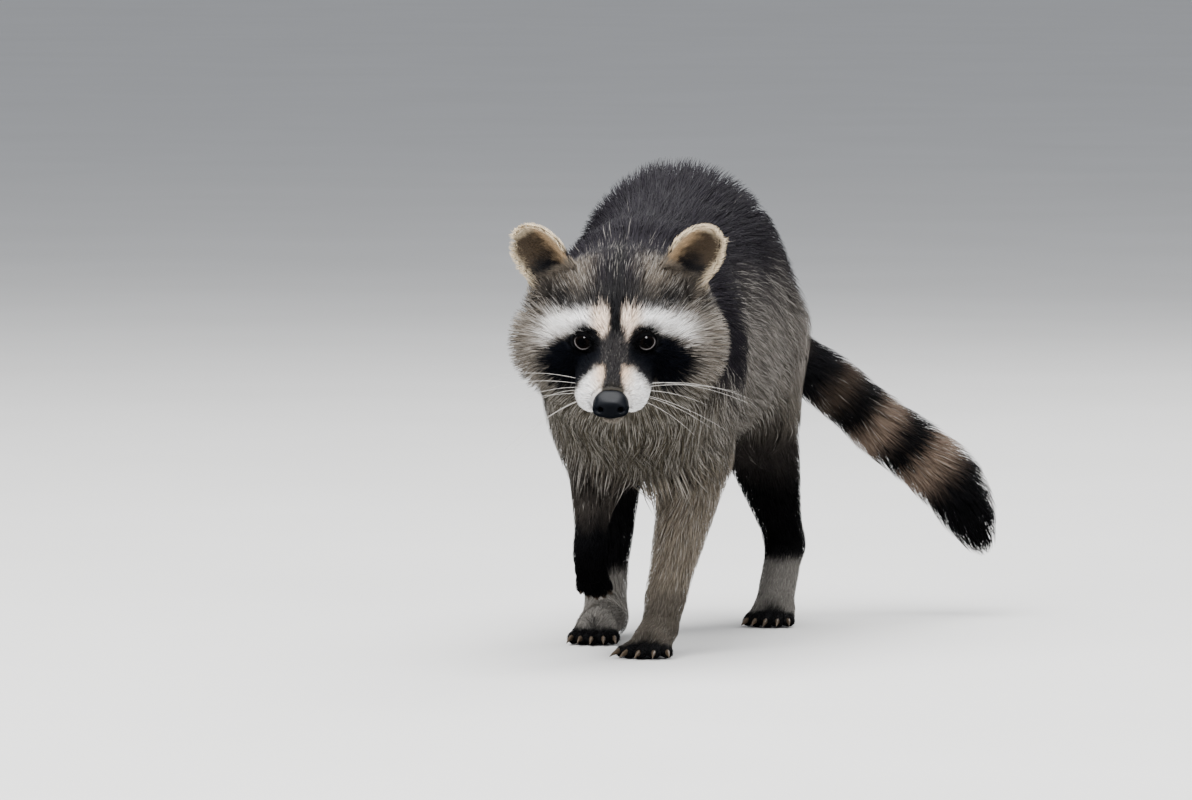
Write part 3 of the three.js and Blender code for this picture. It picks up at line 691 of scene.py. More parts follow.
def face_colour(h):
    """Markings of the head, with painted shade in front of the ears and on the chin, laid out in
    its own frontal plane: x and a height t up the face.
    """
    noise = grain(h, 3.2, 5) - 0.5
    fine = grain(h, 1.1, 6) - 0.5
    x = np.abs(h[:, 0] - 0.8)
    t = h[:, 2] * 0.956 + h[:, 1] * 0.292
    edge = 2.6 * noise + 1.6 * fine
    front = 1 - step(34, 52, h[:, 1])

    # The crown, a painted shadow in front of each ear's outer base, the cheeks, the throat and the
    # bridge of the nose.
    colour = mix(FOREHEAD, Tints.back, step(30, 48, t + 8 * noise))
    # Painted shadow: a soft black patch in front of each ear's outer base.
    colour = mix(colour, BLACK, 0.75 * np.exp(-((x - 40) / 11) ** 2 - ((t - 27) / 6) ** 2))
    side = step(22, 34, x - 0.2 * t) * (1 - step(14, 24, t + 4 * noise))
    colour = mix(colour, Tints.cheek, side)
    outer = step(56, 68, x - 0.25 * t + 6 * noise)
    colour = mix(colour, BEIGE, outer * (1 - step(4, 16, t)))
    low = step(0, 16, -t - 22 + 6 * noise)
    colour = mix(colour, Tints.throat, low)
    colour = mix(colour, BRIDGE_BROWN, (1 - step(9, 15, x)) * (1 - step(0, 6, t)) * (1 - low))
    # White brows, softer towards the cheeks, with strands of the forehead's hair across them.
    depth_in = -patch(BROW_WHITE, x, t) + 1.2 * edge
    soft = np.where(t > 9 - 0.1 * x, 1.2 + 5.5 * step(15, 24, x), 1.8)
    sweep = step(-1, 1, (2 * depth_in + 1 - soft) / (soft + 1))
    fade = step(60, 41, x + 4 * noise)
    strands = np.exp(-((x - 15.4 - 0.2 * (t - 12)) / 1.5) ** 2)
    strands = strands * step(8, 10, t) * (0.3 + 1.1 * fine)
    white = mix(0.75 * CREAM + 0.25 * Tints.white, Tints.white, step(12, 20, x))
    sweep = sweep * (1 - 0.8 * np.clip(strands, 0, 1))
    colour = mix(colour, mix(Tints.cheek, white, fade), sweep * (0.35 + 0.65 * fade) * front)
    # The dark stripe between them, the mask, the rims of the eyes, the muzzle, the chin in painted
    # shade and the lips.
    stripe = (1 - step(3.2, 4.8, x + 0.6 * edge)) * step(1, 7, t)
    colour = mix(colour, mix(BLACK, FOREHEAD, step(22, 34, t)), stripe * 0.9)
    mask = 1 - step(-1.6, 1.6, patch(MASK, x, t) + 0.9 * edge)
    colour = mix(colour, Tints.mask, mask * front)
    rim = np.hypot(x - 18.4, 1.05 * (t + 0.3))
    colour = mix(colour, BLACK, (1 - step(8.8, 10.0, rim + 0.4 * edge)) * front)
    white = 1 - step(-1.3, 1.3, patch(MUZZLE_WHITE, x, t) + 0.7 * edge)
    snout = (h[:, 1] < -12) & (h[:, 2] > -36.5)
    muzzle = mix(Tints.white, CREAM, step(-42, -19, t) * step(17, 7, x + 2 * noise))
    colour = mix(colour, muzzle, white * snout)
    # Painted shade: the chin under the nose is grey, darkening to the throat's colour, instead of
    # white.
    shaded_chin = (h[:, 1] < -14) & (h[:, 2] <= -34)
    below = mix(Tints.cheek * 0.8, Tints.throat, step(-44, -30, h[:, 1]))
    colour = np.where(shaded_chin[:, None], below, colour)
    lip = 1 - step(0.8, 2.0, np.abs(h[:, 2] + 35.3) + 0.5 * fine)
    return mix(colour, BLACK, lip * (h[:, 1] < -14) * 0.85)


def ear_colour(h):
    """Dark in the cup, tan hairs from the inner edge, a pale rim, and grey-brown behind."""
    along, u, back = ear_frame(both(h))
    t = along / (EAR_LENGTH - EAR_FUR)
    half = ear_outline(np.clip(t, 0, 1), 1)
    inside = step(0.2, -0.6, back - ear_cup(u, half))
    edge = np.maximum(np.abs(u) / half, t)
    noise = grain(h, 2.4, 9) - 0.5
    hollow = mix(EAR_DARK, BLACK * 1.5, step(0.5, 0.1, t + 0.2 * noise))
    hollow = mix(hollow, Tints.ear, step(0.0, -0.8, u / half + 0.5 * noise) * 0.85)
    behind = mix(Tints.back, BEIGE, step(0.35, 0.8, t + 0.4 * noise))
    colour = mix(behind, hollow, inside)
    rim = step(0.80, 0.98, edge + 0.12 * noise) * step(0.0, 0.25, t + 0.1 * (u / half))
    colour = mix(colour, BEIGE, step(0.10, -0.04, t + 0.15 * noise + 0.06 * (np.abs(u) < 8)))
    return mix(colour, RIM, rim), inside, rim


def body_colour(p):
    """Charcoal along the back, grizzled flanks, a browner throat and belly."""
    noise = grain(p, 22, 11) - 0.5
    fine = grain(p, 5, 12) - 0.5
    high = p[:, 2] + 20 * noise + 8 * fine
    colour = mix(Tints.flank, Tints.back, step(190, 262, high + 0.10 * np.abs(p[:, 0])))
    low = step(178, 120, high)
    colour = mix(colour, Tints.throat, low * 0.7)
    chest = step(-120, -168, p[:, 1]) * step(235, 190, high)
    colour = mix(colour, Tints.throat, chest)
    along = p[:, 1] + 0.25 * (p[:, 2] - 200) + 14 * noise
    collar = step(-206, -186, along) * step(-96, -122, along) * step(150, 178, p[:, 2])
    return mix(colour, Tints.back, collar * step(18, 34, np.abs(p[:, 0] - 5)))


HIND_TINTS = (shade(44, 40, 38), 150, 116, 1), (BLACK, 112, 84, 0.95)
LEG_TINTS = {  # colour, the heights between which it comes in, its strength
    "left_fore": ((ARM, 128, 100, 1), (shade(98, 91, 82), 52, 30, 1)),
    "right_fore": ((shade(62, 57, 53), 136, 108, 1), (BLACK, 96, 78, 1)),
    "left_hind": HIND_TINTS, "right_hind": HIND_TINTS,
}


def leg_colour(p, name):
    """Each leg from the trunk's grey to its own foot, whose toes and sole are black."""
    noise = grain(p, 9, 13) - 0.5
    z = p[:, 2] + 14 * noise
    colour = body_colour(p)
    for tint, start, end, strength in LEG_TINTS[name]:
        colour = mix(colour, tint, step(start, end, z) * strength)
    if "hind" in name:
        colour = mix(colour, Tints.foot, step(46, 38, z - 6 * noise))
    paw = LEGS[name][-1][0]
    toe = np.linalg.norm(p - paw, axis=1)
    ahead = -(p[:, 1] - paw[1]) if name != "right_fore" else -(p[:, 2] - 48)
    colour = mix(colour, BLACK, step(6, 16, ahead + 8 * noise) * (toe < 60))
    return mix(colour, BLACK, step(8, 3, p[:, 2]) * 0.9)


def tail_colour(p):
    """Rings, counted along the tail's joints: brown-grey and black in turn, and a black tip."""
    place = chain_way(p, [(at, 0, 0) for at, _, _ in TAIL])[1]
    place = place + 0.10 * (grain(p, 6, 15) - 0.5)
    rings = [(0.8, 0.28 * Tints.ring), (1.35, 1.6 * BLACK), (2.02, 0.3 * Tints.ring), (2.30, BLACK),
             (2.80, Tints.ring), (3.2, BLACK), (4.05, 0.94 * Tints.ring), (4.85, BLACK)]
    colour = np.tile(Tints.back, (len(p), 1))
    for start, tint in rings:
        colour = mix(colour, tint, step(start - 0.09, start + 0.09, place))
    return colour


def markings_and_shade(p):
    """The colour of the coat at points of the skin, painted shade included, and the share of each
    region there.
    """
    d = regions(p)
    names = list(d)
    stack = np.stack([d[n] for n in names], axis=1)
    near = np.exp(-np.clip(stack - stack.min(1, keepdims=True), 0, 60) / 2.5)
    share = near / near.sum(1, keepdims=True)
    h = to_head(p)
    colour = np.zeros((len(p), 3))
    for n, name in enumerate(names):
        on = share[:, n] > 0.003
        if not on.any():
            continue
        q = p[on]
        if name == "trunk":
            c = body_colour(q)
        elif name == "tail":
            c = tail_colour(q)
        elif name == "head":
            c = face_colour(h[on])
        elif name == "ear":
            c = ear_colour(h[on])[0]
        else:
            c = leg_colour(q, name)
        colour[on] += share[on, n, None] * c
    return colour / share.sum(1, keepdims=True), {n: share[:, i] for i, n in enumerate(names)}


# ---------------------------------------------------------------- the lie of the coat
def chain_way(p, joints):
    """The direction of the nearest bone at each point, and how far along the chain it is."""
    best, way, place = np.full(len(p), 1e9), np.zeros((len(p), 3)), np.zeros(len(p))
    for n, ((a, ra, _), (b, rb, _)) in enumerate(zip(joints, joints[1:])):
        axis = b - a
        t = np.clip((p - a) @ axis / (axis @ axis), 0, 1)
        d = np.linalg.norm(p - a - t[:, None] * axis, axis=1) - ra - (rb - ra) * t
        closer = d < best
        way[closer], place[closer] = unit(axis), (n + t)[closer]
        best = np.minimum(best, d)
    return way, place


def face_way(h):
    """Away from the nose, swept back over the crown and out and down over the cheeks."""
    x = h[:, 0]
    away = unit(h - vec(0, -61, -21))
    wide = step(24, 52, np.abs(x))
    low = step(-22, -48, h[:, 2])
    back = step(10, 60, h[:, 1])
    away[:, 0] += 0.45 * wide * np.sign(x)
    away[:, 1] += 0.5 * back + 0.5 * wide
    away[:, 2] -= 0.45 * wide * step(14, -10, h[:, 2]) + 0.7 * low
    near = np.exp(-(((np.abs(x) - 48) / 12) ** 2 + ((h[:, 2] - 17) / 12) ** 2))
    near = near * step(20, 30, h[:, 1])
    up = np.stack([0.75 * np.sign(x), 0.5 + 0 * x, 0.6 + 0 * x], axis=1)
    return unit(away) * (1 - near[:, None]) + up * near[:, None]


def ear_way(h):
    """Up the ear behind, from the inner edge outwards in the cup, and off its edge at the rim."""
    along, u, _ = ear_frame(both(h))
    _, inside, rim = ear_colour(h)
    off = unit(np.outer(u, EAR_ACROSS) + np.outer(along - 12, EAR_AXIS))
    cup = EAR_AXIS * 0.75 + EAR_ACROSS * 0.9
    way = EAR_AXIS * (1 - inside[:, None]) + cup * inside[:, None]
    way = way * (1 - rim[:, None]) + (off + 0.3 * EAR_AXIS) * rim[:, None]
    way[:, 0] *= np.where(h[:, 0] < 0, -1, 1)
    return way


def body_way(p):
    """Backwards, falling down the sides, straight down the breast and the back of the rump."""
    x = p[:, 0] - 4
    side = np.clip(np.abs(x) / 68, 0, 1)
    way = np.stack([0.10 * np.sign(x) * side, np.ones(len(p)), -0.08 - 0.75 * side ** 1.5], axis=1)
    breast = step(-128, -172, p[:, 1]) * step(235, 195, p[:, 2])
    way = mix(way, vec(0, 0.25, -1), breast)
    rump = step(120, 170, p[:, 1])
    return mix(way, vec(0, 0.45, -1), rump)


def lie(p, normal, share):
    """The way the coat lies at points of the skin, square to the normal there."""
    h = to_head(p)
    way = share["trunk"][:, None] * unit(body_way(p))
    way += share["tail"][:, None] * chain_way(p, TAIL)[0]
    way += share["head"][:, None] * (unit(face_way(h)) @ HEAD_TURN.T)
    way += share["ear"][:, None] * (unit(ear_way(h)) @ HEAD_TURN.T)
    for name in LEGS:
        along = chain_way(p, LEGS[name])[0]
        along[:, 1] += 0.25 * step(40, 90, p[:, 2])
        way += share[name][:, None] * unit(along)
    return unit(way - (way * normal).sum(1, keepdims=True) * normal)


# ---------------------------------------------------------------- tufts
LONG = 13  # tufts longer than this have two rings
WAVING = 14  # and longer than this they lie in broader locks
SHOWING = 0.40, 0.85  # where along a tuft its lower and upper parts take their marking
PATCH = 0.003  # the side of a tuft's place on the map
MOST_TRIANGLES = 200_000
# Where the coat is grizzled, the shares of tufts that are pale, pale to the tip, and dark.
PALE_SHARE, PALE_TIPPED, DARK_SHARE = 0.45, 0.18, 0.30


def scattered(points, faces, density, rng):
    """Roots over the faces, so many per square millimetre: one in each equal step of the sum."""
    a, b, c = (points[faces[:, n]] for n in range(3))
    area = np.linalg.norm(np.cross(b - a, c - a), axis=1) / 2
    total = np.cumsum(area * density)
    count = int(total[-1])
    face = np.searchsorted(total, (np.arange(count) + rng.random(count)) * total[-1] / count)
    face = np.minimum(face, len(faces) - 1)
    u, w = rng.random(count), rng.random(count)
    over = u + w > 1
    u, w = np.where(over, 1 - u, u), np.where(over, 1 - w, w)
    return a[face] + u[:, None] * (b - a)[face] + w[:, None] * (c - a)[face]


def tuft_lines(root, normal, way, length, depth, pull, proud, rng):
    """Where each tuft turns and where it ends: its tip is brought to the coat's outline less a
    chosen share of the depth, and its shoulder stands over the root at nearly that height."""
    short = rng.random(len(root)) ** 2.2 * 0.5 - proud
    tip = root + way * length[:, None] + normal * depth[:, None] + pull
    for _ in range(2):
        g = slope(tip, outline, 0.4)
        off = outline(tip) + short * depth
        steep = np.maximum((g ** 2).sum(1, keepdims=True), 0.3)
        tip = tip - np.clip(off, -9, 9)[:, None] * g / steep
    rise = (0.98 * (1 - short) * depth)[:, None]
    return root + way * (0.40 * length)[:, None] + normal * rise + 0.3 * pull, tip


def bent(root, shoulder, tip, t):
    """The point at t on the curve (1-t)^2 root + 2t(1-t) shoulder + t^2 tip."""
    return (1 - t) ** 2 * root + 2 * t * (1 - t) * shoulder + t * t * tip


def blades(hair, rings, rng):
    """Closed tapering blades on their curves, with their colours and places on the map. Each starts
    as a point just under the skin, swells to three-sided rings and ends in a point."""
    root, shoulder, tip, normal = (hair[key] for key in ("root", "shoulder", "tip", "normal"))
    n = len(root)
    s = np.array([0.0, 0.44, 1.0]) if rings == 1 else np.array([0.0, 0.3, 0.68, 1.0])
    wide = np.array([0, 1, 0]) if rings == 1 else np.array([0, 1, 0.78, 0])
    line = [bent(root - normal * 0.3, shoulder, tip, t) for t in s]
    along = unit(tip - root)
    aside = unit(np.cross(along, normal))
    up = np.cross(aside, along)
    spin = (rng.random(n) - 0.5)[:, None] * 0.9
    aside, up = aside * np.cos(spin) + up * np.sin(spin), up * np.cos(spin) - aside * np.sin(spin)
    cols = [line[0][:, None]]
    for m in range(1, rings + 1):
        half = (hair["width"] * wide[m] / 2)[:, None]
        centre = line[m]
        cols.append(np.stack([centre - aside * half, centre + aside * half, centre + up * half], 1))
    cols.append(line[-1][:, None])
    points = np.concatenate(cols, axis=1)
    size = points.shape[1]
    faces = [(0, 2, 1), (0, 3, 2), (0, 1, 3)]
    for m in range(1, rings):
        i, j = 3 * m - 2, 3 * m + 1
        for a, b in ((0, 1), (1, 2), (2, 0)):
            faces += [(i + a, i + b, j + b), (i + a, j + b, j + a)]
    i, e = 3 * rings - 2, size - 1
    faces += [(i, i + 1, e), (i + 1, i + 2, e), (i + 2, i, e)]
    faces = (np.arange(n)[:, None, None] * size + np.array(faces)[:, ::-1]).reshape(-1, 3)
    stage_of = np.repeat(s, [1] + [3] * rings + [1])
    local = np.stack([[0.0, *[-0.5, 0.5, 0.1] * rings, 0.0], stage_of - 0.5], axis=1) * PATCH
    spots = (hair["spot"][:, None] + local[None]).reshape(-1, 2)
    return points.reshape(-1, 3), faces, banded(hair, stage_of, rng), spots


def banded(hair, stage_of, rng):
    """Colour down each tuft: dim at the root, its own colours beyond, and on a grizzled one a pale
    band and a dark tip."""
    under, tint, grizzle = hair["under"], hair["tint"], hair["grizzle"]
    n = len(tint)
    light = np.exp(0.44 * (rng.random(n) - 0.5))[:, None]
    own = np.clip(tint * light, 0, 0.97)
    chance = rng.random(n)
    pale = (chance < PALE_SHARE * grizzle)[:, None]
    dark = (chance > 1 - DARK_SHARE * grizzle)[:, None]
    band = np.where(pale, 0.4 * own + 0.6 * SILVER * light, np.where(dark, own * 0.45, own))
    tip = np.where(pale, np.where((chance < PALE_TIPPED * grizzle)[:, None], band, own * 0.5),
                   np.where(dark, own * 0.35, own * 1.05))
    t = stage_of[None, :, None]
    root = 0.62 * under + 0.03 * UNDERFUR
    low, far = np.clip(t / 0.35, 0, 1), np.clip((t - 0.3) / 0.45, 0, 1)
    below = np.clip(under * light, 0, 0.97)
    shaft = below[:, None] * (1 - far) + own[:, None] * far
    colours = root[:, None] * (1 - low) + shaft * low
    mid = np.exp(-((t - 0.68) / 0.14) ** 2) * (pale | dark)[:, None]
    colours = colours * (1 - mid) + band[:, None] * mid
    end = np.clip((t - 0.85) / 0.15, 0, 1)
    colours = colours * (1 - end) + tip[:, None] * end
    return np.clip(colours, 0, 1).reshape(-1, 3)


def grizzling(p, share, tint):
    """How much of the coat is banded: most on the flanks and breast, little on white or black."""
    value = tint.mean(1)
    middling = step(0.012, 0.06, value) * step(0.50, 0.28, value)
    dark = step(0.006, 0.012, value) * step(0.4, 0.2, value)
    middling = np.maximum(middling, 0.42 * share["head"] * dark)
    back = step(215, 275, p[:, 2] + 0.2 * np.abs(p[:, 0]))
    crown = step(8, 26, to_head(p)[:, 2]) * share["head"]
    amount = (share["trunk"] * (0.9 - 0.6 * back) + share["head"] - 0.4 * crown
              + share["tail"] * 0.15)
    for name in LEGS:
        amount = amount + share[name] * (0.7 if name == "left_fore" else 0.35)
    return amount * middling


def turned(x, y):
    """The angle of (x, y) as a share of a turn, from 0 to 1."""
    return np.arctan2(x, y) / (2 * math.pi) + 0.5


def chart(p, h, region):
    """Where each root lies on an unwrap of the skin: round a bone or the body, and along it. The
    four sides of the two ears lie next to each other."""
    if region == "trunk":
        return turned(p[:, 0] - 4, p[:, 2] - 190), p[:, 1]
    if region == "head":
        q = h - vec(0, 20, -10)
        away = np.arccos(np.clip(-q[:, 1] / np.linalg.norm(q, axis=1), -1, 1))
        return turned(q[:, 0], q[:, 2]), away
    if region == "ear":
        along, u, _ = ear_frame(both(h))
        column = (h[:, 0] > 0) * 2 + (ear_colour(h)[1] > 0.5)
        return (column + 0.5 + 0.4 * np.clip(u / (EAR_HALF + 2), -1, 1)) / 4, along
    joints = TAIL if region == "tail" else LEGS[region]
    way, place = chain_way(p, joints)
    a = unit(np.cross(way, vec(1, 0.3, 0)))
    b = np.cross(way, a)
    n = np.clip(place.astype(int), 0, len(joints) - 2)
    q = p - np.array([j[0] for j in joints])[n]
    return turned((q * a).sum(1), (q * b).sum(1)), place


def whole(p, h):
    return np.ones(len(p), bool)


def band(low, high):
    """The part of the trunk between two distances along it."""
    return lambda p, h: (p[:, 1] >= low) & (p[:, 1] < high)


def cheek(side):
    return lambda p, h: (h[:, 1] >= 16) & (h[:, 2] < 2) & ((h[:, 0] < 0) == (side < 0))


COAT_PIECES = {  # the region of each piece, and which part of it
    "coat_face": ("head", lambda p, h: h[:, 1] < 16),
    "coat_cheek_left": ("head", cheek(1)),
    "coat_cheek_right": ("head", cheek(-1)),
    "coat_crown": ("head", lambda p, h: (h[:, 1] >= 16) & (h[:, 2] >= 2)),
    "coat_ears": ("ear", whole),
    "coat_neck": ("trunk", band(-math.inf, -152)),
    "coat_shoulders": ("trunk", band(-152, -84)),
    "coat_ribs": ("trunk", band(-84, -8)),
    "coat_loins": ("trunk", band(-8, 70)),
    "coat_rump": ("trunk", band(70, math.inf)),
    "coat_tail": ("tail", whole),
    "coat_left_foreleg": ("left_fore", whole),
    "coat_right_foreleg": ("right_fore", whole),
    "coat_left_hindleg": ("left_hind", whole),
    "coat_right_hindleg": ("right_hind", whole),
}


def coat_length(p, depth, share):
    """Hair is longer than its coat is deep, since it lies down: most on the body and tail."""
    face = step(34, 8, to_head(p)[:, 1])
    length = (2.0 + 0.1 * share["trunk"]) * depth + 3.6
    short = np.minimum((1.35 - 0.2 * face) * depth + 2.8, 19)
    length = mix(length[:, None], short[:, None], share["head"])[:, 0]
    _, inside, rim = ear_colour(to_head(p))
    length = np.where(share["ear"] > 0.5, 5.2 + 3.0 * rim + 1.6 * inside, length)
    return np.clip(length, 4.2, 50)


def coat_density(p, normal, length, share):
    """Tufts per square millimetre: enough to cover the skin, none on eyes, nose, lips or pads."""
    cover = 1.5 + 3.0 * step(6, 34, length)
    rich = 1.0 + 0.75 * share["head"] + 0.35 * share["tail"]
    for name in LEGS:
        rich = rich - 0.25 * share[name]
    density = cover * rich / (0.5 * length * tuft_width(length))
    h = to_head(p)
    f = both(h)
    q = eye_frame(f)
    lids = (lid_gap(q) < 0.4) & (q[:, 1] < 0) & (np.linalg.norm(q, axis=1) < EYE_R + 3)
    nose = np.linalg.norm((h - NOSE_AT) / NOSE_R, axis=1) < 1.03
    lips = (np.abs(h[:, 2] + 35.4) < 0.9) & (h[:, 1] < -14) & (share["head"] > 0.5)
    pads = (p[:, 2] < 5.5) & (normal[:, 2] < -0.35)
    return np.where(lids | nose | lips | pads, 0, density)


def tuft_width(length):
    return 0.32 + 0.0075 * length


# ---------------------------------------------------------------- making objects
def linked(name, data):
    made = bpy.data.objects.new(name, data)
    bpy.context.scene.collection.objects.link(made)
    return made


def mesh_object(name, points, faces, material, tint=None):
    """A smooth mesh object from points in the skeleton's millimetres, riding on the body."""
    mesh = bpy.data.meshes.new(name)
    faces = np.asarray(faces)
    mesh.vertices.add(len(points))
    mesh.vertices.foreach_set("co", in_metres(points).astype(np.float32).ravel())
    mesh.loops.add(faces.size)
    mesh.loops.foreach_set("vertex_index", faces.astype(np.int32).ravel())
    mesh.polygons.add(len(faces))
    starts = np.arange(len(faces), dtype=np.int32) * faces.shape[1]
    mesh.polygons.foreach_set("loop_start", starts)
    mesh.polygons.foreach_set("use_smooth", np.ones(len(faces), bool))
    mesh.update(calc_edges=True)
    if tint is not None:
        data = np.ones((len(points), 4), np.float32)
        data[:, :3] = tint
        mesh.attributes.new("tint", "FLOAT_COLOR", "POINT").data.foreach_set("color", data.ravel())
    mesh.materials.append(material)
    made = linked(name, mesh)
    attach(made, "root")
    return made


def bake_map(mesh, uv):
    """The map named OFBake, from a place for each corner."""
    layer = mesh.uv_layers.new(name="OFBake")
    layer.data.foreach_set("uv", uv.astype(np.float32).ravel())


def grid_faces(rows, columns, closed=True):
    """Quads of a grid of rows of points; closed joins each row's end to its start."""
    i = np.arange(rows - 1)[:, None] * columns
    j = np.arange(columns if closed else columns - 1)[None, :]
    k = (j + 1) % columns
    return np.stack([i + j, i + k, i + columns + k, i + columns + j], axis=-1).reshape(-1, 4)


def capped(rows, columns):
    """Triangles of closed rows of points and, counted after all of those, a point at each end."""
    quads = grid_faces(rows, columns)
    first, end = rows * columns, (rows - 1) * columns
    j = np.arange(columns)
    k = (j + 1) % columns
    return np.concatenate([
        quads[:, [0, 1, 2]], quads[:, [0, 2, 3]],
        np.stack([np.full(columns, first), k, j], 1),
        np.stack([np.full(columns, first + 1), end + j, end + k], 1)])


def tube(line, radius, sides, flat=1.0, up=(0, 0, 1)):
    """Triangles of a round rod along a line of points, its ends drawn to a point: each ring is
    centre + r (cos a across + flat sin a above)."""
    ahead = unit(np.gradient(line, axis=0))
    across = unit(np.cross(ahead, np.asarray(up, dtype=float)))
    above = np.cross(across, ahead)
    a = (np.arange(sides) * 2 * math.pi / sides)[None, :, None]
    ring = np.cos(a) * across[:, None] + flat * np.sin(a) * above[:, None]
    points = (line[:, None] + radius[:, None, None] * ring).reshape(-1, 3)
    return np.concatenate([points, line[:1], line[-1:]]), capped(len(line), sides)[:, [0, 2, 1]]


def joined(parts):
    """Several (points, faces) as one."""
    start = np.cumsum([0] + [len(p) for p, _ in parts])
    return (np.concatenate([p for p, _ in parts]),
            np.concatenate([f + s for (_, f), s in zip(parts, start)]))


# ---------------------------------------------------------------- materials
class Value:
    """A shader socket that Python's arithmetic turns into Math nodes."""

    def __init__(self, build, socket):
        self.build, self.socket = build, socket

    def _math(self, kind, a, b):
        return self.build.node("ShaderNodeMath", {"operation": kind}, {0: a, 1: b})

    def __radd__(self, other):
        return self._math("ADD", other, self)

    def __mul__(self, other):
        return self._math("MULTIPLY", self, other)

    def __rmul__(self, other):
        return self._math("MULTIPLY", other, self)


class Build:
    """Fills one material's node tree."""

    def __init__(self, name):
        self.material = bpy.data.materials.new(name)
        self.material.use_nodes = True
        self.tree = self.material.node_tree
        self.shader = self.tree.nodes["Principled BSDF"]

    def put(self, socket, value):
        if isinstance(value, Value):
            self.tree.links.new(value.socket, socket)
        else:
            socket.default_value = value

    def node(self, kind, settings=None, inputs=None, out=0):
        """A node of a kind, with its settings and then its sockets' values or links."""
        made = self.tree.nodes.new(kind)
        for name, value in (settings or {}).items():
            setattr(made, name, value)
        for name, value in (inputs or {}).items():
            self.put(made.inputs[name], value)
        return Value(self, made.outputs[out])

    def set(self, **values):
        """Sockets of the surface shader, with _ in place of a blank."""
        for name, value in values.items():
            self.put(self.shader.inputs[name.replace("_", " ")], value)
        return self

    def between(self, share, low, high):
        """A colour from low to high by a share of 0 to 1."""
        return self.node("ShaderNodeMix", {"data_type": "RGBA"},
                         {"Factor": share, "A": (*low, 1), "B": (*high, 1)}, out=2)

    def bump(self, height, strength, distance):
        made = self.node("ShaderNodeBump", {}, {"Strength": strength, "Distance": distance,
                                                "Height": height})
        return self.set(Normal=made)

    def noise(self, scale, detail=3.0, stretch=(1, 1, 1)):
        place = self.node("ShaderNodeTexCoord", out="Object")
        place = self.node("ShaderNodeMapping", {}, {"Vector": place, "Scale": stretch})
        return self.node("ShaderNodeTexNoise", {}, {"Vector": place, "Scale": scale,
                                                    "Detail": detail}, out="Fac")

    def tint(self, amount, mottle):
        """The tint attribute, lightened and darkened by a mottle of 0 to 1 by up to an amount."""
        colour = self.node("ShaderNodeAttribute", {"attribute_name": "tint"}, out="Color")
        return self.node("ShaderNodeVectorMath", {"operation": "SCALE"},
                         {0: colour, "Scale": 1 - amount / 2 + mottle * amount})


def coat_material():
    build = Build("guard hair")
    build.set(Base_Color=build.tint(0.35, build.noise(900, 2.0)))
    build.set(Roughness=0.5 + 0.2 * build.noise(400, 1.0))
    return build.set(Specular_IOR_Level=0.10).material


def skin_material():
    build = Build("skin and down")
    fuzz = build.noise(1400, 4.0)
    build.set(Base_Color=build.tint(0.6, fuzz), Roughness=0.8, Specular_IOR_Level=0.2)
    return build.bump(fuzz, 0.5, 0.0006).material


def eye_material():
    build = Build("wet eye")
    streaks = build.noise(1500, 2.0)
    build.set(Base_Color=build.tint(0.4, streaks), Roughness=0.05 + 0.02 * build.noise(300, 1.0))
    return build.set(Specular_IOR_Level=0.2).material


def lid_material():
    build = Build("eyelid")
    build.set(Base_Color=build.tint(0.3, build.noise(1200, 2.0)))
    build.set(Roughness=0.6 + 0.2 * build.noise(700, 2.0))
    return build.set(Specular_IOR_Level=0.03).material


def nose_material():
    build = Build("nose leather")
    pebbles = build.node("ShaderNodeTexVoronoi", {"feature": "F1"}, {
        "Vector": build.node("ShaderNodeTexCoord", out="Object"), "Scale": 1900.0}, out="Distance")
    worn = build.noise(260, 3.0)
    # The leather is black. Its bluish cast is a painted sheen, and the noise varies it at random.
    colour = build.between(worn, shade(6, 8, 12), shade(13, 16, 22))
    build.set(Base_Color=colour, Roughness=0.34 + 0.14 * worn, Specular_IOR_Level=0.16)
    return build.bump(pebbles, 0.4, 0.0002).material


def claw_material():
    build = Build("dark horn")
    layers = build.noise(700, 3.0, (1, 0.25, 1))
    colour = build.between(layers, shade(34, 28, 24), shade(92, 78, 62))
    build.set(Base_Color=colour, Roughness=0.32 + 0.15 * layers)
    return build.bump(layers, 0.3, 0.0002).material


def whisker_material():
    build = Build("whisker")
    shine = build.noise(200, 2.0)
    colour = build.between(shine, shade(180, 175, 168), shade(226, 222, 216))
    return build.set(Base_Color=colour, Roughness=0.35 + 0.1 * shine).material


def floor_material():
    build = Build("pale floor")
    worn = build.noise(3.0, 4.0)
    colour = build.between(worn, shade(214, 213, 210), shade(222, 221, 219))
    return build.set(Base_Color=colour, Roughness=0.7 + 0.1 * worn).material


# ---------------------------------------------------------------- pieces
CLAWS = [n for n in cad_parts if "claw" in n]
FLESH = [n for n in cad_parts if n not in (*CLAWS, "nose", "eye_left", "eye_right")]


def take_colours(settings):
    for name in TINTS:
        setattr(Tints, name, np.array(getattr(settings, name)))


def make_skin(settings):
    take_colours(settings)
    points, faces = bare_skin()
    tint, _ = markings_and_shade(points)
    skin = mesh_object("skin", points, faces, skin_material(), np.clip(tint * 0.75, 0, 1))
    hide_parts(*FLESH)


def skin_mesh():
    """The made skin's points, in the skeleton's millimetres, and its triangles."""
    mesh = bpy.data.objects["skin"].data
    points = np.empty(len(mesh.vertices) * 3)
    mesh.vertices.foreach_get("co", points)
    faces = np.empty(len(mesh.polygons) * 3, np.int32)
    mesh.polygons.foreach_get("vertices", faces)
    return points.reshape(-1, 3) / MM - SHIFT, faces.reshape(-1, 3).astype(np.int64)


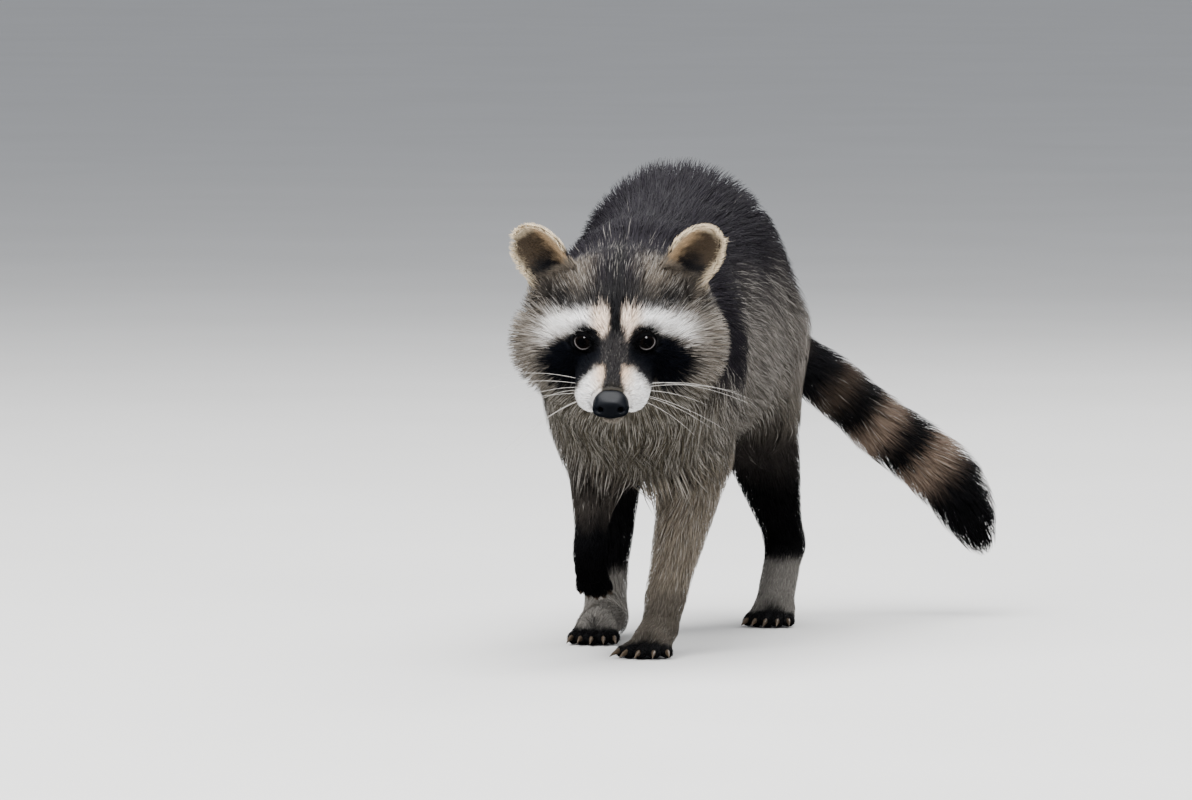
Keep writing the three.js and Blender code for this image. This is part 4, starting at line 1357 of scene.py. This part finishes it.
def locks(root, normal, way, length, rng):
    """The way of each tuft, wavering over the coat, and how far its tip is drawn towards the middle
    of its small cell."""
    long = length > WAVING
    aside = np.cross(normal, way)
    bend = grain(root / np.where(long, 16.0, 5.0)[:, None], 1.0, 21) - 0.5
    bend = bend + 0.5 * (rng.random(len(root)) - 0.5)
    way = unit(way + aside * (bend * np.where(long, 0.55, 0.45))[:, None])
    size = np.exp2(np.round(np.log2(2.2 + 0.2 * length)))[:, None]
    home = (np.floor(root / size) + 0.5) * size
    wander = np.stack([grain(home, 1.7, seed) - 0.5 for seed in (31, 32, 33)], axis=1)
    pull = home + wander * size * 0.9 - root
    pull -= (pull * normal).sum(1, keepdims=True) * normal
    return way, pull * (0.22 + 0.08 * step(10, 24, length))[:, None]


def grown(settings, rng):
    """All tufts, as arrays with a row for each, and their shares of the regions."""
    points, faces = skin_mesh()
    normal = unit(slope(points, bare_animal, 0.3))
    depth = np.clip(-outline(points), 0.5, 30)
    _, share = markings_and_shade(points)
    length = coat_length(points, depth, share)
    density = coat_density(points, normal, length, share) * settings.thickness
    root = scattered(points, faces, density[faces].min(1), rng)

    root = settle(root, bare_animal, 1)
    normal = unit(slope(root, bare_animal, 0.3))
    depth = np.clip(-outline(root), 0.6, 30)
    _, share = markings_and_shade(root)
    h = to_head(root)
    length = coat_length(root, depth, share) * settings.length * (0.8 + 0.4 * rng.random(len(root)))
    way, pull = locks(root, normal, lie(root, normal, share), length, rng)
    proud = 0.03 + 0.05 * share["head"] + 0.27 * share["tail"]
    shoulder, tip = tuft_lines(root, normal, way, length, depth, pull, proud, rng)
    # A tuft takes the markings of the places where it shows, not that of its root.
    low, high = (bent(root, shoulder, tip, t) for t in SHOWING)
    stray = np.where(h[:, 1] < 10, 0.6 + 1.3 * step(15, 20, h[:, 2]), 2.4) * share["head"]
    stray += 3.0 * share["trunk"]
    stray += 1.2 * (share["tail"] + sum(share[name] for name in LEGS))
    stray = rng.normal(size=root.shape) * stray[:, None]
    under, tint = markings_and_shade(low + stray)[0], markings_and_shade(high + stray)[0]
    return {"root": root, "head": h, "shoulder": shoulder, "tip": tip, "normal": normal,
            "length": length, "width": tuft_width(length) * settings.width, "under": under,
            "tint": tint, "grizzle": grizzling(root, share, tint)}, share


def make_coat(settings):
    take_colours(settings)
    rng = np.random.default_rng(COAT_SEED)
    hair, share = grown(settings, rng)
    region = np.array(list(share))[np.stack(list(share.values()), 1).argmax(1)]
    material = coat_material()
    for name, (where, part) in COAT_PIECES.items():
        chosen = (region == where) & part(hair["root"], hair["head"])
        if not chosen.any():
            raise RuntimeError(f"{name} has no tufts")
        own = {key: rows[chosen] for key, rows in hair.items()}
        u, w = chart(own["root"], own["head"], where)
        low, high = w.min(), w.max()
        own["spot"] = np.stack([u, 0.01 + 0.98 * (w - low) / max(high - low, 1e-6)], axis=1)
        made = []
        for rings, on in ((1, own["length"] <= LONG), (2, own["length"] > LONG)):
            if on.any():
                made.append(blades({key: rows[on] for key, rows in own.items()}, rings, rng))
        points, tris = joined([(points, tris) for points, tris, _, _ in made])
        if len(tris) > MOST_TRIANGLES:
            raise RuntimeError(f"{name} has {len(tris)} triangles")
        tint, spots = (np.concatenate([parts[n] for parts in made]) for n in (2, 3))
        piece = mesh_object(name, points, tris, material, tint)
        bake_map(piece.data, np.clip(spots, 0.0005, 0.9995)[tris.ravel()])


def make_eyes(settings):
    """Each eyeball is a sphere with a swelling of exp(-(angle / 30)^2) about the gaze. Its lids are
    one ring round the gaze, swept from inside the margin, over its edge and back under the skin."""
    angle = np.linspace(0, math.pi, EYE_ROWS + 2)[1:-1]
    turn = np.arange(EYE_COLUMNS) * 2 * math.pi / EYE_COLUMNS
    swell = EYE_R + CORNEA * np.exp(-(np.degrees(angle) / 30) ** 2)
    ring = np.stack(np.broadcast_arrays(
        np.sin(angle)[:, None] * np.cos(turn), -np.cos(angle)[:, None] + 0 * turn,
        np.sin(angle)[:, None] * np.sin(turn)), axis=-1) * swell[:, None, None]
    ball = np.concatenate([ring.reshape(-1, 3), [[0, -EYE_R - CORNEA, 0]], [[0, EYE_R, 0]]])
    degrees = np.degrees(np.arccos(np.clip(-ball[:, 1] / np.linalg.norm(ball, axis=1), -1, 1)))
    colour = mix(shade(3, 3, 4), np.array(settings.iris), step(20, 26, degrees))
    colour = mix(colour, shade(8, 6, 6), step(37, 43, degrees))
    colour = mix(colour, shade(20, 16, 15), step(48, 56, degrees))
    wet, dry = eye_material(), lid_material()
    for side, name in ((1, "eye_left"), (-1, "eye_right")):
        for what, (points, tris, tint), material in (
            ("ball", (ball, capped(EYE_ROWS, EYE_COLUMNS), colour), wet),
            ("lids", lid_ring(), dry),
        ):
            placed = (points @ GAZE.T + EYE_AT) * vec(side, 1, 1)
            tris = tris[:, ::-side]  # mirroring turns faces over
            made = mesh_object(name + what, from_head(placed), tris, material, tint)
            if material is wet:
                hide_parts(name)


def lid_ring():
    """A ring round the almond between the lids. Round the gaze by turn, the margin stands at the
    angle whose sine is the almond's radius over the ball's; LID_PROFILE goes on from there, each
    step a share of the way to LID_REACH and a height over the ball."""
    turn = np.arange(LID_SIDES) * 2 * math.pi / LID_SIDES
    x, z = np.cos(turn), np.sin(turn)
    wide = np.where(x > 0, ALMOND_OUT, ALMOND_IN)
    point = np.stack([wide * np.sign(x) * np.abs(x) ** 1.08,
                      ALMOND_HIGH * np.sign(z) * np.abs(z) ** 1.15], axis=1)
    point[:, 1] += 0.10 * point[:, 0] - 0.2
    radius = np.hypot(point[:, 0], point[:, 1])
    start = np.arcsin(np.clip(radius / (EYE_R + 0.5), 0, 0.98))
    share, height = np.array(LID_PROFILE).T
    angle = start[None] + share[:, None] * (LID_REACH - start)[None]
    r = EYE_R + height[:, None] + 0 * angle
    out = point / radius[:, None]
    made = np.stack([r * np.sin(angle) * out[:, 0], -r * np.cos(angle),
                     r * np.sin(angle) * out[:, 1]], axis=-1)
    # Painted highlight: a pale crescent on the outer and lower margin of the lids stands for light
    # caught on their wet edge.
    edge = np.exp(-((share - 0.01) / 0.025) ** 2) * (height > 0)
    wet = edge[:, None] * step(-0.35, 0.75, 0.6 * x - 0.8 * z)[None]
    colour = mix(BLACK * 0.3, shade(128, 122, 121), wet.ravel() * 0.8)
    quads = grid_faces(len(LID_PROFILE) + 1, LID_SIDES) % (len(LID_PROFILE) * LID_SIDES)
    tris = np.concatenate([quads[:, [0, 1, 2]], quads[:, [0, 2, 3]]])
    return made.reshape(-1, 3), tris, colour


def nose_shape(p):
    """A broad pad: an ellipsoid with wings, cut flatter on top and in front, with round nostrils,
    a slit from each up and outwards, and a groove below."""
    h = to_head(p)
    f = both(h)
    q = h - NOSE_AT
    d = ellipsoid(h, NOSE_AT, NOSE_R - vec(0.4, 0.0, 0.2))
    d = blend(d, ellipsoid(f, vec(6.4, -61.0, -26.2), vec(5.0, 5.4, 4.8)), 2.0)
    for way, reach, k in ((vec(0, -0.52, 0.85), 7.4, 2.4), (vec(0, -1, -0.12), 8.3, 2.0)):
        d = cut(d, reach - q @ unit(way), k)
    hole = limb(f, vec(7.0, -67.5, -26.2), vec(5.4, -60, -24.8), 2.3, 1.4)
    slit = chain(f, [(vec(7.8, -67.0, -26.8), 1.6, 0), (vec(10.8, -64.0, -26.0), 1.2, 0),
                     (vec(12.8, -59.5, -23.2), 0.6, 0)], 0.8, 0)
    d = cut(d, blend(hole, slit, 1.0), 0.9)
    groove = limb(h, vec(0, -67.2, -28.5), vec(0, -63.5, -35), 0.6, 0.6)
    return cut(d, groove, 1.0)


def make_nose():
    box = from_head(NOSE_AT + 15 * (2 * np.array(CORNERS) - 1))
    lines = [spaced((a, b, 0.8)) for a, b in zip(box.min(0), box.max(0))]
    points, quads = surface(nose_shape, lines)
    points = settle(points, nose_shape, 2)
    faces = halves(points, quads)
    for _ in range(2):
        points = settle(relaxed(points, faces, 0.4), nose_shape, 1)
    nose = mesh_object("nose_pad", points, faces, nose_material())
    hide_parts("nose")


def make_claws():
    """Each claw is a rod on a bend, start + L s ahead - hook s^2 up, thinning as 1 - 0.94 s^1.5."""
    parts = []
    s = np.linspace(0, 1, 9)
    for name in LEGS:
        r = FEET[name][0][1]
        for _, end, ahead, up in zip(*toes(name)):
            start = end + ahead * (r * TOE_TIP - CLAW_SUNK) + up * 0.8
            line = start + np.outer(s, ahead) * CLAW_LENGTH - np.outer(s ** 2, up) * CLAW_HOOK
            radius = CLAW_R * (1.0 - 0.94 * s ** 1.5) * 0.8
            parts.append(tube(line, radius, CLAW_SIDES, 1.25, up))
    points, faces = joined(parts)
    claws = mesh_object("claws", points, faces, claw_material())
    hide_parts(*CLAWS)


def make_whiskers(settings):
    """Each whisker starts in the lip and runs out, back and down on one bend."""
    rng = np.random.default_rng(WHISKER_SEED)
    parts = []
    s = np.linspace(0, 1, 15)[:, None]
    for side in (1, -1):
        for n in range(settings.whiskers):
            row, place = divmod(n, 4)
            root = vec(15.5 - 1.0 * row, -42 + 6.5 * place + rng.normal() * 0.8,
                       -21 - 4.2 * row + rng.normal() * 0.7)
            out = unit(vec(1.0, 0.10 + 0.22 * place + 0.1 * rng.normal(),
                           0.02 - 0.30 * row + 0.08 * rng.normal()))
            length = (40 + 11 * place + rng.random() * 24) * (1 - 0.08 * row)
            sag = vec(0.0, 6 + 6 * rng.random(), -14 - 12 * rng.random())
            line = root + out * length * s + sag * s ** 2
            line[:, 0] *= side
            radius = 0.085 * (1 - s[:, 0]) ** 0.7 + 0.03
            parts.append(tube(from_head(line), radius, WHISKER_SIDES))
    points, faces = joined(parts)
    whiskers = mesh_object("whiskers", points, faces, whisker_material())


def aimed(made, at, ahead):
    made.location = at
    made.rotation_euler = Vector(ahead).to_track_quat("-Z", "Y").to_euler()
    return made


FLOOR_REACH, FLOOR_LINES = 60, 24
LIT, LOOKED_AT = vec(0, 0, 0.15), vec(-47, 0, 155)  # where lamps point, and where the camera does
LAMPS = (  # name, place, size, power, whether reflections show it, whether it lights the coat
    ("sky", (-0.3, -0.6, 3.4), 3.4, 330, True, True),
    ("key", (-1.5, -3.0, 2.4), 2.4, 150, False, True),
    ("fill", (2.6, -2.6, 1.6), 2.4, 85, False, True),
    ("back", (1.0, 2.6, 2.2), 1.8, 70, True, True),
    ("spark", (0.45, -2.3, 2.5), 1.1, 120, True, False),
)


def make_stage(settings):
    """A pale floor, soft lamps, a dim sky and the camera."""
    mesh = bpy.data.meshes.new("floor")
    line = np.linspace(-FLOOR_REACH, FLOOR_REACH, FLOOR_LINES)
    points = np.stack(np.meshgrid(line, line, indexing="xy"), axis=-1).reshape(-1, 2)
    points = np.column_stack([points, np.zeros(len(points))])
    faces = grid_faces(FLOOR_LINES, FLOOR_LINES, closed=False)
    mesh.from_pydata(points.tolist(), [], faces.tolist())
    mesh.materials.append(floor_material())
    floor = linked("floor", mesh)
    floor.visible_glossy = False

    for name, at, size, power, shows, lights in LAMPS:
        lamp = bpy.data.lights.new(name, "AREA")
        lamp.size, lamp.energy = size, power * settings.light
        made = aimed(linked(name, lamp), at, LIT - np.array(at))
        made.visible_glossy, made.visible_diffuse = shows, lights
    world = bpy.data.worlds.new("studio")
    world.use_nodes = True
    sky = world.node_tree.nodes["Background"].inputs
    sky["Color"].default_value, sky["Strength"].default_value = (0.88, 0.92, 1.0, 1), 0.6
    bpy.context.scene.world = world
    world.cycles_visibility.glossy = False

    camera = bpy.data.cameras.new("camera")
    camera.lens, camera.sensor_width, camera.clip_end = settings.lens, 36, 100
    a, e = settings.azimuth, settings.elevation
    ahead = np.array([-math.sin(a) * math.cos(e), math.cos(a) * math.cos(e), -math.sin(e)])
    at = in_metres(LOOKED_AT) - settings.distance * ahead
    bpy.context.scene.camera = aimed(linked("camera", camera), at, ahead)


# ---------------------------------------------------------------- settings, operators and panel
def factor(name, description, low, high):
    return bpy.props.FloatProperty(
        name=name, description=description, default=1.0, min=low, max=high)


def colour_property(name, description, colour):
    return bpy.props.FloatVectorProperty(
        name=name, description=description, subtype="COLOR", default=tuple(colour), min=0, max=1)


class CoatSettings(bpy.types.PropertyGroup):
    """Sizes and colours of the coat."""

    back: colour_property("Back", "Colour of the back and the collar", Tints.back)
    flank: colour_property("Flanks", "Colour of the flanks", Tints.flank)
    throat: colour_property("Throat", "Colour of the throat, breast and belly", Tints.throat)
    cheek: colour_property("Cheeks", "Colour of the cheeks", Tints.cheek)
    white: colour_property("White", "Colour of the brows and the muzzle", Tints.white)
    mask: colour_property("Mask", "Colour of the mask", Tints.mask)
    ear: colour_property("Ears", "Colour of the hair in the ears", Tints.ear)
    ring: colour_property("Rings", "Colour of the tail's pale rings", Tints.ring)
    foot: colour_property("Hind feet", "Colour of the pale hind feet", Tints.foot)

    length: factor("Length", "Length of the coat over the usual one", 0.5, 1.5)
    thickness: factor("Thickness", "Tufts per area over the usual number", 0.1, 1.3)
    width: factor("Tuft width", "Width of a tuft over the usual one", 0.5, 2.0)
    whiskers: bpy.props.IntProperty(
        name="Whiskers", description="Whiskers on each side of the muzzle", default=7, min=1,
        max=24)
    iris: colour_property("Iris", "Colour of the iris", shade(11, 8, 7))


class StageSettings(bpy.types.PropertyGroup):
    """The lamps and the camera."""

    light: bpy.props.FloatProperty(
        name="Light", description="Brightness of the lamps", default=1.0, min=0)
    lens: bpy.props.FloatProperty(
        name="Lens", description="Focal length of the camera", default=325.0,
        subtype="DISTANCE_CAMERA")
    distance: bpy.props.FloatProperty(
        name="Distance", description="How far the camera stands off", default=7.0, unit="LENGTH")
    azimuth: bpy.props.FloatProperty(
        name="Azimuth", description="How far the camera stands to the animal's left",
        default=math.radians(9), subtype="ANGLE", unit="ROTATION")
    elevation: bpy.props.FloatProperty(
        name="Elevation", description="How far the camera looks down",
        default=math.radians(3.3), subtype="ANGLE", unit="ROTATION")


class RACCOON_OT_skin(bpy.types.Operator):
    """Make the skin of the whole animal"""

    bl_idname = "raccoon.skin"
    bl_label = "Skin"

    def execute(self, context):
        make_skin(context.scene.raccoon_coat)
        return {"FINISHED"}


class RACCOON_OT_coat(bpy.types.Operator):
    """Grow the coat from the skin, region by region"""

    bl_idname = "raccoon.coat"
    bl_label = "Coat"

    def execute(self, context):
        make_coat(context.scene.raccoon_coat)
        return {"FINISHED"}


class RACCOON_OT_eyes(bpy.types.Operator):
    """Make both eyeballs and their lids"""

    bl_idname = "raccoon.eyes"
    bl_label = "Eyes"

    def execute(self, context):
        make_eyes(context.scene.raccoon_coat)
        return {"FINISHED"}


class RACCOON_OT_nose(bpy.types.Operator):
    """Make the nose pad"""

    bl_idname = "raccoon.nose"
    bl_label = "Nose"

    def execute(self, context):
        make_nose()
        return {"FINISHED"}


class RACCOON_OT_claws(bpy.types.Operator):
    """Make the claws of all four feet"""

    bl_idname = "raccoon.claws"
    bl_label = "Claws"

    def execute(self, context):
        make_claws()
        return {"FINISHED"}


class RACCOON_OT_whiskers(bpy.types.Operator):
    """Make the whiskers"""

    bl_idname = "raccoon.whiskers"
    bl_label = "Whiskers"

    def execute(self, context):
        make_whiskers(context.scene.raccoon_coat)
        return {"FINISHED"}


class RACCOON_OT_stage(bpy.types.Operator):
    """Set the floor, the lamps and the camera"""

    bl_idname = "raccoon.stage"
    bl_label = "Stage"

    def execute(self, context):
        make_stage(context.scene.raccoon_stage)
        return {"FINISHED"}


OPERATORS = (RACCOON_OT_stage, RACCOON_OT_skin, RACCOON_OT_coat, RACCOON_OT_eyes, RACCOON_OT_nose,
             RACCOON_OT_claws, RACCOON_OT_whiskers)


class RACCOON_PT_panel(bpy.types.Panel):
    """The pieces and their settings, in the sidebar"""

    bl_idname = "RACCOON_PT_panel"
    bl_label = "Raccoon"
    bl_space_type = "VIEW_3D"
    bl_region_type = "UI"
    bl_category = "Raccoon"

    def draw(self, context):
        for group in (context.scene.raccoon_coat, context.scene.raccoon_stage):
            box = self.layout.box()
            for name in group.bl_rna.properties.keys():
                if name not in ("rna_type", "name"):
                    box.prop(group, name)
        for operator in OPERATORS:
            self.layout.operator(operator.bl_idname)


CLASSES = (CoatSettings, StageSettings, *OPERATORS, RACCOON_PT_panel)


def register():
    for made in CLASSES:
        bpy.utils.register_class(made)
    bpy.types.Scene.raccoon_coat = bpy.props.PointerProperty(type=CoatSettings)
    bpy.types.Scene.raccoon_stage = bpy.props.PointerProperty(type=StageSettings)


def unregister():
    del bpy.types.Scene.raccoon_stage
    del bpy.types.Scene.raccoon_coat
    for made in reversed(CLASSES):
        bpy.utils.unregister_class(made)


def main():
    register()
    bpy.ops.raccoon.stage()
    bpy.ops.raccoon.skin()
    bpy.ops.raccoon.coat()
    bpy.ops.raccoon.eyes()
    bpy.ops.raccoon.nose()
    bpy.ops.raccoon.claws()
    bpy.ops.raccoon.whiskers()


if __name__ == "__main__":
    main()
